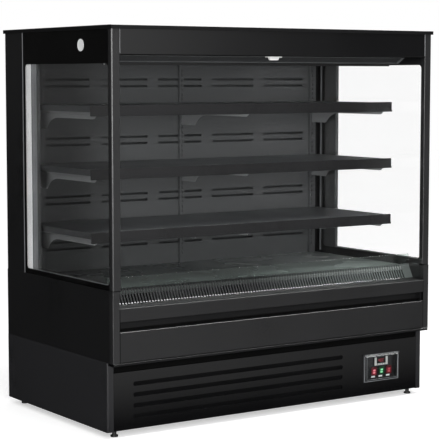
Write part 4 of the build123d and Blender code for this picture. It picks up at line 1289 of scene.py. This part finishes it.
@dataclass
class ReturnAirGrille:
    """The slotted return-air grille, its ledge and the clear riser behind it."""

    half: float = 0.964
    pitch: float = 0.017
    slot: float = 0.008
    margin: float = 0.051
    gauge: float = 0.0018
    upstand: float = -0.4405
    deck: float = 0.712
    toe: Pair = (-0.4745, 0.6501)
    ledge: Pair = (-0.5205, 0.6466)
    bumper_low: float = 0.578

    def build(self) -> None:
        """Models the grille and dresses what stands round it."""
        self.grille()
        dress(DECK, "deck_pans")
        dress(RISER, "front_riser")
        self.bumper()
        self.riser_clips()

    def grille(self) -> None:
        """Models one slotted strip, repeats it along the width and closes the ends."""
        slots = int(2 * (self.half - self.margin) / self.pitch)
        left = -slots * self.pitch / 2
        route = [(self.upstand, self.deck + 0.012), (self.upstand, self.deck), self.toe, self.ledge,
                 (self.ledge[0], self.ledge[1] - 0.015)]
        strip = Workpiece.folded("return_air_grille_sheet", route, (left, left + self.pitch),
                                 0.006, 5)
        start, stop = left + (self.pitch - self.slot) / 2, left + (self.pitch + self.slot) / 2
        top, end = self.deck + 0.0075, self.toe[0] - 0.0085
        strip.slice(Along.X, start, stop).slice(Along.Z, top).slice(Along.Y, end)
        strip.faces(lambda c, n: start < c.x < stop and c.z < top and c.y > end).remove_faces()
        for is_end in (lambda p: near(p.z, top), lambda p: near(p.y, end)):
            strip.points(lambda p: near(p.x, start, stop) and is_end(p))
            strip.bevel(0.0034, 3, corners=True)
        strip.tiled(slots, (self.pitch, 0.0, 0.0))
        for x, way in ((left, -1), (left + slots * self.pitch, 1)):
            strip.edges(lambda a, b: near(a.x, x) and near(b.x, x))
            strip.extrude((way * (self.half - 0.0003) - x, 0.0, 0.0))
        strip.thicken(self.gauge, 1)
        strip.seat(GRILLE, "return_air_grille", slot="inner_grey", angle=40.0)

    def bumper(self) -> None:
        """Models the bumper rail, folded over the ledge and down its face, and its insert."""
        back, height = self.ledge[0] - 0.0005, self.ledge[1]
        route = [(back, height - 0.015), (back, height), (FRONT_Y, height - 0.0036),
                 (FRONT_Y, self.bumper_low), (-0.528, self.bumper_low)]
        rail = Workpiece.folded("bumper_rail_sheet", route, (-self.half, self.half), 0.0013, 4,
                                0.002)
        rail.seat(FRONT, "bumper_rail")
        lift, end = 0.0002, self.half - 0.003
        route = [(self.toe[0] - 0.0092, self.toe[1] - 0.0007 + lift), (back, height + lift),
                 (FRONT_Y + 0.0040, height - 0.0032 + lift)]
        Workpiece.folded("bumper_insert", route, (-end, end), 0.004, 3, 0.0012, -1).seat(INSERT)

    def riser_clips(self) -> None:
        """Models the riser's end clips: small slotted shoes at the glazed ends."""
        low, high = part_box("front_riser")
        for word, way in SIDES:
            outer, inner = way * 0.9615, way * 0.9495
            clip = Workpiece.block(f"riser_clip_{word}",
                                   (outer, low.y - 0.0016, self.deck + 0.0005),
                                   (inner, high.y + 0.0016, self.deck + 0.030))
            slot = Workpiece.block("slot", (outer, low.y, self.deck - 0.01),
                                   (inner - way * 0.01, high.y, self.deck + 0.06))
            clip.cut(slot).soften(0.0005).seat(SEAL)


@dataclass
class LowerFront:
    """Fascia, kick panel with its louvres, and the base behind them."""

    half: float = 0.964
    back: float = -0.528
    base_inner: float = 0.967
    base_front: float = -0.5035
    fold: float = 0.0195
    low: float = 0.033
    high: float = 0.322
    groove: float = 0.3754
    slot_x: Pair = (-0.855, 0.451)
    slot_height: float = 0.022
    rows: tuple[float, float, float, float] = (0.096, 0.150, 0.204, 0.258)
    opening: tuple[float, float, float, float] = (0.591, 0.840, 0.103, 0.256)
    rear: float = 0.5625

    def build(self) -> None:
        """Models the kick panel and dresses the lower body's nodes."""
        dress(RECESS_SHADE, "lower_tank")
        dress(INNER, "rear_wall")
        dress(BODY, "rear_grille")
        dress(ZINC, "base_tray")
        self.fascia()
        self.closures()
        self.lip()
        self.kick_panel()
        self.blades()
        self.rear_screws()

    def fascia(self) -> None:
        """Models the lower fascia, stepped in at a groove."""
        top, foot, step = 0.528, 0.380, FRONT_Y + 0.005
        route = [(self.back, top), (FRONT_Y, top), (FRONT_Y, foot), (step, foot),
                 (step, self.groove)]
        panel = Workpiece.folded("lower_fascia_sheet", route, (-self.half, self.half), 0.0024, 5,
                                 0.002)
        panel.seat(FRONT, "lower_fascia")

    def lip(self) -> None:
        """Models the full-width lip under the groove, in the dark paint of painted recess shade."""
        under, foot = self.base_front - 0.002, 0.3625
        route = [(FRONT_Y, self.groove), (FRONT_Y, foot), (under, foot), (under, 0.376)]
        lip = Workpiece.folded("lower_lip_sheet", route, (-0.9985, 0.9985), 0.0036, 5, 0.002)
        lip.soften(0.0005, 1, 60.0).seat(RECESS_SHADE, "lower_fascia")

    def closures(self) -> None:
        """Models the recess wall, the dark strips of painted shade at the recess's foot and in the
        kick panel's gap, and the end joints.
        """
        x, back, base = self.half - 0.0004, self.back, self.base_front
        # The shadow strip and the gap baffle are near-black sheets of painted shade.
        for name, corner, opposite, width, paint, test in (
                ("recess_wall", (-x, back - 0.0016, 0.5281), (x, back - 0.0002, 0.5778), 0.0004,
                 RECESS_SHADE, lambda m: m.y < back - 0.001),
                ("recess_gasket", (-x, back - 0.0030, 0.5281), (x, back - 0.0012, 0.5420), 0.0008,
                 SHADE, lambda m: m.y < back - 0.002 and m.z > 0.54),
                ("kick_top_baffle", (-0.9665, base + 0.006, 0.3180),
                 (0.9665, base + 0.0072, 0.3595), 0.0004, SHADE, lambda m: m.y < base + 0.0065)):
            Workpiece.eased(name, corner, opposite, Along.X, width, 2, test).seat(paint)
        for word, way in SIDES:
            seam = Workpiece.eased(f"end_joint_{word}",
                                   (way * (self.half - 0.0032), FRONT_Y - 0.0003, 0.3780),
                                   (way * (self.half + 0.0004), FRONT_Y + 0.012, 0.6420),
                                   Along.Z, 0.0006, 2, lambda m: m.y < FRONT_Y)
            seam.seat(SHADE)

    def kick_panel(self) -> None:
        """Models the folded kick panel and cuts its louvres and the control opening."""
        left, face = -self.base_inner + 0.0005, self.base_front
        route = [(face + self.fold, self.high), (face, self.high), (face, self.low),
                 (face + self.fold, self.low)]
        panel = Workpiece.folded("kick_panel_sheet", route, (left, -left), 0.004, 4, 0.002)
        half = self.slot_height / 2
        cutters = [Workpiece.eased(f"louvre_cutter_{z}", (self.slot_x[0], face - 0.01, z - half),
                                   (self.slot_x[1], face + 0.01, z + half), Along.Y, half * 0.97, 6)
                   for z in self.rows]
        left_x, right_x, low, high = self.opening
        cutters.append(Workpiece.block("control_cutter", (left_x + 0.008, face - 0.01, low + 0.008),
                                       (right_x - 0.008, face + 0.01, high - 0.008)))
        panel.cut(*cutters).soften(0.0006, 2, 50.0).seat(KICK, "kick_grille")

    def blades(self) -> None:
        """Models one pressed-in louvre blade with closed ends, and copies it to each slot."""
        half, z, front, gauge = self.slot_height / 2, self.rows[0], self.base_front, 0.0012
        back = front + 0.018
        route = [(front + 0.0024, z + half + 0.003), (front + 0.010, z + half + 0.001),
                 (back, z - half + 0.001), (back, z - half - 0.002)]
        ends = (self.slot_x[0] - 0.002, self.slot_x[1] + 0.002)
        blade = Workpiece.folded("louvre_blade_0", route, ends, 0.003, 3, gauge, -1)
        for x in (ends[0], ends[1] - gauge):
            blade.join(Workpiece.block("cheek", (x, front + 0.002, z - half - 0.002),
                                       (x + gauge, back, z + half + 0.002)))
        steps = {f"louvre_blade_{index}": (0.0, 0.0, row - z)
                 for index, row in enumerate(self.rows[1:], start=1)}
        for piece in blade.copies(steps):
            # Dark recess paint: painted shade inside the louvres.
            piece.seat(RECESS_SHADE)

    def rear_screws(self) -> None:
        """Models the pan-head screws that hold the rear cover and the rear wall's skin."""
        five, four = (-0.94, -0.47, 0.0, 0.47, 0.94), (-0.93, -0.31, 0.31, 0.93)
        head, rise, sunk = 0.0042, 0.0018, 0.0003
        screws = []
        for columns, heights in ((five, (0.052, 0.355)), (four, (0.42, 0.70)),
                                 (five, (0.78, 1.36, 1.94))):
            for x in columns:
                for z in heights:
                    screw = Workpiece.rod(f"rear_screw_{len(screws)}",
                                          (x, self.rear + (rise / 2 - sunk), z), head,
                                          rise + 2 * sunk, Along.Y, 16)
                    screw.towards(Along.Y, 1).inset(0.0011).move((0.0, 0.0004, 0.0))
                    screws.append(screw.inset(0.0016, -0.0009).done())
        screws[0].join(*screws[1:]).seat(ZINC, slot="zinc_steel")


@dataclass
class LevellingFeet:
    """The four levelling feet."""

    pad: float = 0.019
    pad_height: float = 0.009
    hexagon: float = 0.011
    top: float = 0.0307
    stem: float = 0.006
    names: tuple[str, ...] = ("front_right", "rear_left", "rear_right", "front_left")

    def build(self) -> None:
        """Models the last foot and copies it under the other corners."""
        first = self.names[-1]
        start = self.middle(first)
        steps = {f"foot_{name}_turned": tuple(self.middle(name) - start)
                 for name in self.names[:-1]}
        for name, foot in zip(self.names, self.model(first).copies(steps)):
            foot.seat(RUBBER, f"foot_{name}", body=f"{name}_foot", slot="foot_black")

    @staticmethod
    def middle(name: str) -> Vector:
        """Gives the middle of a foot's base."""
        low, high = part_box(f"foot_{name}")
        return Vector(((low.x + high.x) / 2, (low.y + high.y) / 2, 0.0))

    def model(self, name: str) -> Workpiece:
        """Models a foot: a ribbed pad, a hexagon and a stem.

        Args:
            name: The foot's corner.

        Returns:
            The foot.
        """
        spot = self.middle(name)
        pad = Workpiece.rod(f"foot_{name}_turned", (spot.x, spot.y, self.pad_height / 2), self.pad,
                            self.pad_height, Along.Z, 40)
        pad.towards(Along.Z, 1).inset(0.003).inset(0.003, -0.0006).soften(0.0009)
        nut_z = (self.pad_height + self.top) / 2 - 0.0005
        nut = Workpiece.rod("nut", (spot.x, spot.y, nut_z), self.hexagon,
                            self.top - self.pad_height + 0.001, Along.Z, 6)
        nut.towards(Along.Z, 0).inset(0.0016).soften(0.0006)
        stem = Workpiece.rod("stem", (spot.x, spot.y, self.top + 0.0075), self.stem, 0.015,
                             Along.Z, 24)
        stem.towards(Along.Z, 1).inset(0.0012).move((0.0, 0.0, 0.0009)).done()
        return pad.join(nut, stem)


class Rocker(Enum):
    """The three rocker switches: finishes of lens, key and surround, and slot."""

    LEFT = (LENS_RED, KEY_RED, SURROUND_RED, "lens_red")
    MIDDLE = (LENS_GREEN, KEY_GREEN, SURROUND_GREEN, "lens_green")
    RIGHT = (LENS_DEEP, KEY_RED, SURROUND_RED, "lens_red")


@dataclass
class Controls:
    """The control panel, its display, switches, plates and clear cover."""

    middle: float = 0.7325
    floor: float = -0.4795
    rocker_y: float = -0.4845
    rocker_z: float = 0.154
    rocker_tip: float = 8.0
    bezel: Pair = (0.038, 0.046)
    rocker_pitch: float = 0.052
    display_z: float = 0.207
    display: Pair = (0.100, 0.050)
    screen: Pair = (0.064, 0.034)
    sill: float = 0.0095
    cover_back: float = -0.508
    cover_depth: float = 0.009
    cover_x: Pair = (0.5972, 0.8338)
    cover_z: Pair = (0.105, 0.253)

    def build(self) -> None:
        """Models the controls and dresses their nodes."""
        dress(CONTROL_HAZE, "control_panel")
        dress(COVER, "control_cover")
        self.controller()
        for rocker in Rocker:
            self.switch(rocker)
        self.plates()
        self.cover_edges()

    @staticmethod
    def framed(name: str, centre: Point, size: Pair, rim: float, depth: float,
               corner: float) -> Workpiece:
        """Models a flat frame with rounded corners that faces the customer.

        Args:
            name: The piece's name.
            centre: The middle of its back.
            size: Its outer width and height.
            rim: How wide the frame is.
            depth: How far it stands forward.
            corner: The radius of its corners.

        Returns:
            The frame.
        """
        piece = Workpiece.panel(name, centre, *size, Along.Y)
        piece.points().bevel(corner, 4, corners=True).faces().inset(rim)
        x, _, z = centre
        piece.faces(lambda c, n: abs(c.x - x) < 1e-4 and abs(c.z - z) < 1e-4).remove_faces()
        return piece.thicken(depth, 1).soften(min(rim, depth) * 0.22)

    def controller(self) -> None:
        """Models the display: a dark case, a pale U-shaped bezel, the screen, digits and keys."""
        x, z, floor, screen_half = self.middle, self.display_z, self.floor, self.screen[0] / 2
        width, height = self.display
        case = Workpiece.eased("controller_case", (x - width / 2, floor - 0.0052, z - height / 2),
                               (x + width / 2, floor, z + height / 2), Along.Y, 0.003, 4)
        case.towards(Along.Y, -1).inset(0.0022).inset(0.0008, -0.0008)
        case.seat(CONTROL_HAZE, "temperature_controller", slot="bezel_grey")
        half, top, low = 0.046, z + 0.0215, z - 0.0225
        wall = (half * 2 - self.screen[0]) / 2
        bezel = Workpiece.block("controller_bezel", (x - half, floor - 0.0070, low),
                                (x + half, floor - 0.0046, low + self.sill))
        for _, side in SIDES:
            edge = x + side * half
            bezel.towards(Along.X, side).move((-side * wall, 0.0, 0.0))
            bezel.extrude((side * wall, 0.0, 0.0))
            bezel.towards(Along.Z, 1, lambda c: abs(c.x - edge) < wall)
            bezel.extrude((0.0, 0.0, top - low - self.sill))
        bezel.soften(0.0008, 3).seat(BEZEL, slot="bezel_grey")
        screen = Workpiece.block(
            "controller_screen",
            (x - screen_half + 0.0004, floor - 0.0062, low + self.sill + 0.0004),
            (x + screen_half - 0.0004, floor - 0.0046, top - 0.0006))
        screen.towards(Along.Y, -1).inset(0.0018).move((0.0, 0.0003, 0.0)).done()
        screen.seat(SCREEN, slot="bezel_grey")
        self.digits(x, (top + low + self.sill) / 2)
        self.keys(x, low + self.sill / 2)

    def digits(self, x: float, z: float) -> None:
        """Models the lit figures from slanted bars.

        Args:
            x: The middle of the display.
            z: Its height.
        """
        tall, wide, bar, thick, lean = 0.0150, 0.0085, 0.0016, 0.0005, 0.0011
        spots = {"a": (0, 1, 0), "b": (1, .5, 1), "c": (1, -.5, 1), "d": (0, -1, 0),
                 "e": (-1, -.5, 1), "f": (-1, .5, 1), "g": (0, 0, 0)}
        front = self.floor - 0.0066
        bars = []
        for lit, middle in (("bcfg", x - 0.0150), ("abcdef", x), ("adef", x + 0.0150)):
            for column, row, upright in (spots[key] for key in lit):
                bx, bz = middle + column * wide / 2 + row * lean, z + row * tall / 2
                half = ((bar / 2, tall / 4 - bar * 0.3) if upright
                        else (wide / 2 - bar * 0.3, bar / 2))
                bars.append(Workpiece.block("bar", (bx - half[0], front, bz - half[1]),
                                            (bx + half[0], front + thick, bz + half[1])))
        bars.append(Workpiece.block("point", (x - 0.0085, front, z - tall / 2 - bar / 2),
                                    (x - 0.0069, front + thick, z - tall / 2 + bar / 2)))
        bars[0].join(*bars[1:]).rename("controller_figures").seat(DIGIT, slot="lens_red")

    def keys(self, x: float, z: float) -> None:
        """Models the row of small keys under the screen.

        Args:
            x: The middle of the display.
            z: The keys' height.
        """
        keys = []
        for index in range(4):
            spot = x - 0.0255 + index * 0.017
            key = Workpiece.rod("key", (spot, self.floor - 0.0073, z), 0.0026, 0.0012, Along.Y, 20)
            keys.append(key.towards(Along.Y, -1).inset(0.0007).move((0.0, 0.0003, 0.0)).done())
        keys[0].join(*keys[1:]).rename("controller_keys").seat(CONTROL_HAZE, slot="control_black")

    def switch(self, rocker: Rocker) -> None:
        """Models one rocker switch with its surround.

        Args:
            rocker: Which one.
        """
        lens, paint, surround, slot = rocker.value
        word = rocker.name.lower()
        node = f"rocker_{word}"
        low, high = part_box(node)
        x, front, dip = (low.x + high.x) / 2, self.floor - 0.008, (0.0, 0.0020, 0.0)
        ring = self.framed(f"{node}_surround", (x, front + 0.0002, self.rocker_z), self.bezel,
                           (self.bezel[0] - 0.0250) / 2, 0.0020, 0.0085)
        ring.seat(surround, slot=slot)
        key = Workpiece.block(f"{node}_key", (x - 0.0118, -0.0060, -0.0148),
                              (x + 0.0118, 0.0085, 0.0148))
        key.slice(Along.Z, 0.0).points(lambda p: near(p.z, 0.0) and p.y < 0.0).move(dip)
        key.points(lambda p: p.y > 0.008 and abs(p.z) > 0.01).resize((1.0, 1.0, 0.62))
        key.towards(Along.Y, -1).inset(0.0022).move((0.0, -0.0005, 0.0)).soften(0.0007, 2, 30.0)
        window = Workpiece.eased(f"{node}_window", (x - 0.0086, -0.0063, -0.0118),
                                 (x + 0.0086, 0.0, 0.0118), Along.Y, 0.0045, 5)
        window.slice(Along.Z, 0.0).points(lambda p: near(p.z, 0.0) and p.y < -0.001)
        window.move(dip).done()
        for part, finish, stands_for in ((key, paint, [node]), (window, lens, [])):
            part.set_down((0.0, self.rocker_y, self.rocker_z), math.radians(self.rocker_tip))
            part.seat(finish, *stands_for, body=f"{word}_rocker", slot=slot)

    def plates(self) -> None:
        """Models the bare white plates under the switches, which glow faintly as painted light."""
        left = self.middle - self.rocker_pitch
        first = Workpiece.eased("switch_plate_left", (left - 0.013, self.floor - 0.0010, 0.1185),
                                (left + 0.013, self.floor, 0.1275), Along.Y, 0.0015, 3)
        first.soften(0.0003, 1, 50.0)
        steps = {f"switch_plate_{word}": (count * self.rocker_pitch, 0.0, 0.0)
                 for word, count in (("middle", 1), ("right", 2))}
        for piece in first.copies(steps):
            piece.seat(PLATE_GLOW, slot="white_plastic")

    def cover_edges(self) -> None:
        """Models the frosted outer and inner edges that outline the clear cover; their pale grey
        also paints the highlight on its bevels.
        """
        x, z = sum(self.cover_x) / 2, sum(self.cover_z) / 2
        width, height = self.cover_x[1] - self.cover_x[0], self.cover_z[1] - self.cover_z[0]
        lap, face = 0.0215, self.cover_back - self.cover_depth
        for word, y, size, rim, depth in (
                ("outer", self.cover_back - 0.0001, (width, height), 0.0020, 0.0016),
                ("inner", face + 0.0014, (width - lap, height - lap), 0.0012, 0.0015)):
            edge = self.framed(f"cover_{word}_edge", (x, y, z), size, rim, depth, 0.002)
            edge.seat(FROSTED_SHEEN, body="cover", slot="clear_plastic")


@dataclass
class NightBlind:
    """The night blind: wound cloth on its roller, the short drop, the bar and the handle."""

    axis: Pair = (-0.459, 1.905)
    half: float = 0.940
    outer: float = 0.026
    core: float = 0.0218
    cloth: float = 0.0005
    hem: float = 0.005
    drop_y: float = -0.48535
    bar_top: float = 1.872
    pin: float = 0.005
    pin_end: float = 0.966

    @property
    def cloth_width(self) -> float:
        """Gives the cloth's width, a little short of the roller."""
        return 2 * self.half - 2 * self.hem

    def build(self) -> None:
        """Models the blind's pieces."""
        self.wound()
        self.roller()
        self.drop()
        self.bar()

    def wound(self) -> None:
        """Winds the cloth in a spiral on the roller."""
        turns = (self.outer - self.core) / self.cloth
        roll = Workpiece.panel("wound_blind_cloth", (0.0, 0.0, 0.0), self.cloth_width, 1.0, Along.Z)
        roll.edges_along(Along.Y).divide(int(turns * 32) - 1).done()
        for point in roll.obj.data.vertices:
            share = point.co.y + 0.5
            radius = self.core + (self.outer - self.core) * share
            angle = math.pi - 2 * math.pi * turns * (1 - share)
            point.co.y = self.axis[0] + radius * math.cos(angle)
            point.co.z = self.axis[1] + radius * math.sin(angle)
        roll.seat(FABRIC, "blind_roller", body="blind_roll", slot="blind_fabric", angle=60.0)

    def roller(self) -> None:
        """Models the roller's tube with its end plugs and pins."""
        y, z = self.axis
        tube = Workpiece.rod("blind_tube", (0.0, y, z), self.core - 0.0004, 2 * self.half,
                             Along.X, 40)
        tube.towards(Along.X, 0).inset(0.0016).inset(0.0060, -0.003).inset(0.0060).done()
        sunk = 0.003
        reach = self.pin_end - self.half + sunk
        for _, side in SIDES:
            start = side * (self.half - sunk)
            pin = Workpiece.rod("pin", (start + side * reach / 2, y, z), self.pin, reach,
                                Along.X, 20)
            pin.towards(Along.X, side).inset(0.001).move((side * -0.0003, 0.0, 0.0)).done()
            tube.join(pin)
        tube.seat(BAR, "blind_roller", body="blind_roll", slot="bar_aluminium")

    def drop(self) -> None:
        """Models the short drop of cloth, which lengthens as the blind is pulled."""
        top = self.axis[1]
        height = top - self.bar_top
        cloth = Workpiece.panel("blind_cloth_drop", (0.0, self.drop_y, (top + self.bar_top) / 2),
                                self.cloth_width, height, Along.Y)
        cloth.edges_along(Along.Z).divide(11).only()
        bpy.ops.object.shade_smooth()
        cloth.obj.data.materials.append(FABRIC.material())
        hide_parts("blind_cloth")
        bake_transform(cloth.obj)
        LOG.info("blind_cloth_drop: %d faces, cabinet to night_blind", len(cloth.obj.data.polygons))

    def bar(self) -> None:
        """Models the bar's profile with its end caps, and the pull handle."""
        low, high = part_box("blind_bar")
        bar = Workpiece.eased("blind_bar_profile", (low.x + 0.004, low.y, low.z),
                              (high.x - 0.004, high.y, high.z), Along.X, 0.0045, 4)
        bar.towards(Along.Y, -1).inset(0.0016, -0.0006).done()
        bar.seat(BAR, "blind_bar", body="night_blind", slot="bar_aluminium")
        for word, side in SIDES:
            cap = Workpiece.eased(f"blind_bar_cap_{word}", (side * (high.x - 0.0045), low.y, low.z),
                                  (side * high.x, high.y, high.z), Along.X, 0.0045, 4)
            cap.soften(0.0004, 1, 50.0).seat(SEAL, body="night_blind")
        low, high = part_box("blind_handle")
        handle = Workpiece.block("blind_pull_handle", (low.x, low.y, high.z - 0.0058),
                                 (high.x, high.y, high.z - 0.0001))
        handle.towards(Along.Z, -1).inset(0.0005).resize((0.60, 0.94, 1.0))
        handle.extrude((0.0, 0.0, -0.0090)).extrude((0.0, 0.0, low.z - high.z + 0.0149))
        handle.resize((0.82, 0.72, 1.0)).soften(0.0012, 3, 25.0)
        handle.seat(WHITE, "blind_handle", body="night_blind", slot="white_plastic")


@dataclass
class MachineRoom:
    """The refrigeration parts behind the kick panel and under the deck."""

    def build(self) -> None:
        """Dresses the machine's nodes."""
        dress(MACHINE, "compressor", "condenser_fan", "evaporator_fan_left",
              "evaporator_fan_middle", "evaporator_fan_right")
        dress(COIL, "condenser", "evaporator")
        dress(ZINC, "condensate_tray", "evaporator_fan_plate")
        dress(LAGGING, "refrigerant_pipes")


# ---- studio ---------------------------------------------------------------------------------


@dataclass
class Studio:
    """Camera, lamps, world and floor."""

    eye: Point = (-4.7166, -6.9770, 1.7546)
    turn: Point = (84.751, 0.0, -34.041)
    lens: float = 127.64
    fill: float = 0.62
    floor_glow: float = 0.5

    def build(self) -> None:
        """Sets up the studio."""
        scene = bpy.context.scene
        scene.view_settings.view_transform = "Standard"
        self.camera(scene)
        self.world(scene)
        self.floor()
        self.lamp("key_softbox", (-3.5, -6.3, 2.2), (0.0, -0.5, 1.0), (1.8, 3.4), 300.0)
        self.lamp("top_softbox", (0.3, -1.6, 5.4), (0.0, -0.5, 0.8), (3.4, 1.8), 140.0)

    def camera(self, scene: bpy.types.Scene) -> None:
        """Places the scene's camera.

        Args:
            scene: The scene.
        """
        data = bpy.data.cameras.new("portrait")
        data.sensor_width = 36.0
        data.lens = self.lens
        data.clip_end = 60.0
        camera = bpy.data.objects.new("portrait", data)
        scene.collection.objects.link(camera)
        camera.location = self.eye
        camera.rotation_euler = [math.radians(v) for v in self.turn]
        scene.camera = camera

    def world(self, scene: bpy.types.Scene) -> None:
        """Makes a white surround whose reflection has bright and dim zones, as in a studio.

        Args:
            scene: The scene.
        """
        world = bpy.data.worlds.new("studio")
        scene.world = world
        world.use_nodes = True
        world.node_tree.nodes.clear()
        nodes = Nodes(world.node_tree)
        place = nodes.add("TexCoord", {}).outputs["Generated"]
        zones = []
        for axis, edge, level in (((-0.2, 0.98, 0.0), (-0.2, 0.6), 0.05),
                                  ((0.80, -0.60, 0.0), (0.917, 0.964), 0.05),
                                  ((-0.75, -0.66, 0.0), (0.86, 0.94), 7.0),
                                  ((0.35, -0.05, 0.94), (0.88, 0.95), 36.0)):
            dot = nodes.add("VectorMath", {0: place, 1: axis}, operation="DOT_PRODUCT")
            zones.append(nodes.ramp(dot.outputs["Value"], 1.0, level, *edge,
                                    interpolation_type="SMOOTHSTEP"))
        dim_back, dim_right, front_box, top_box = zones
        level = nodes.math("MULTIPLY", nodes.math("MULTIPLY", dim_back, dim_right),
                           nodes.math("MAXIMUM", front_box, top_box))
        fill, zoned, white = (
            nodes.add("Background", {"Color": (1.0, 1.0, 1.0, 1.0), "Strength": given}).outputs[0]
            for given in (self.fill, level, 1.0))
        kept = nodes.add("MixShader", {"Fac": nodes.mirrored_ray(), 1: fill, 2: zoned})
        last = nodes.add("MixShader", {"Fac": nodes.straight_ray(), 1: kept.outputs[0], 2: white})
        nodes.add("OutputWorld", {"Surface": last.outputs[0]})

    def floor(self) -> None:
        """Lays a pale floor that looks white and keeps the fridge's shadow."""
        Workpiece.clear_bench()
        bpy.ops.mesh.primitive_plane_add(size=40.0, location=(0.0, 0.0, -0.0005))
        floor = Workpiece("studio_floor").freeze().obj
        made = bpy.data.materials.new("studio_floor")
        made.use_nodes = True
        made.node_tree.nodes.clear()
        nodes = Nodes(made.node_tree)
        matt = nodes.add("BsdfDiffuse", {"Color": (0.8, 0.8, 0.8, 1.0)})
        seen = nodes.math("MULTIPLY", nodes.straight_ray(), self.floor_glow)
        glow = nodes.add("Emission", {"Strength": seen})
        total = nodes.add("AddShader", {0: matt.outputs[0], 1: glow.outputs[0]})
        own = nodes.add("TexCoord", {}).outputs["Object"]
        place = nodes.add("SeparateXYZ", {0: own}).outputs
        # In reflections the floor is painted darker near the fridge and towards the right: painted
        # shade.
        painted_floor_shade = nodes.math("MULTIPLY", nodes.ramp(place["Y"], 0.02, 0.58, -0.75, -1.8),
                          nodes.ramp(place["X"], 1.0, 0.6, 0.5, 2.0))
        mirrored = nodes.add("Emission", {"Strength": painted_floor_shade})
        mixed = nodes.add("MixShader", {"Fac": nodes.mirrored_ray(), 1: total.outputs[0],
                                        2: mirrored.outputs[0]})
        nodes.add("OutputMaterial", {"Surface": mixed.outputs[0]})
        floor.data.materials.append(made)

    @staticmethod
    def lamp(name: str, place: Point, target: Point, size: Pair, power: float) -> None:
        """Hangs a softbox that the camera doesn't see.

        Args:
            name: The lamp's name.
            place: Where it hangs.
            target: What it points at.
            size: Its width and height.
            power: Its power in watts.
        """
        data = bpy.data.lights.new(name, "AREA")
        data.shape = "RECTANGLE"
        data.size, data.size_y = size
        data.energy = power
        lamp = bpy.data.objects.new(name, data)
        bpy.context.scene.collection.objects.link(lamp)
        lamp.location = place
        lamp.rotation_euler = (Vector(target) - Vector(place)).to_track_quat("-Z", "Y").to_euler()
        lamp.visible_camera = False
        lamp.visible_transmission = False


def main() -> None:
    """Builds the studio and every sub-assembly."""
    logging.basicConfig(level=logging.INFO, format="%(name)s %(message)s")
    Studio().build()
    assemblies = [*(GlazedEnd(*side) for side in SIDES), EndDiscs(), Header(), Shelving(),
                  ReturnAirGrille(), LowerFront(), LevellingFeet(), Controls(), NightBlind(),
                  MachineRoom()]
    for assembly in assemblies:
        assembly.build()
        LOG.info("%s done", type(assembly).__name__)


if __name__ == "__main__":
    main()
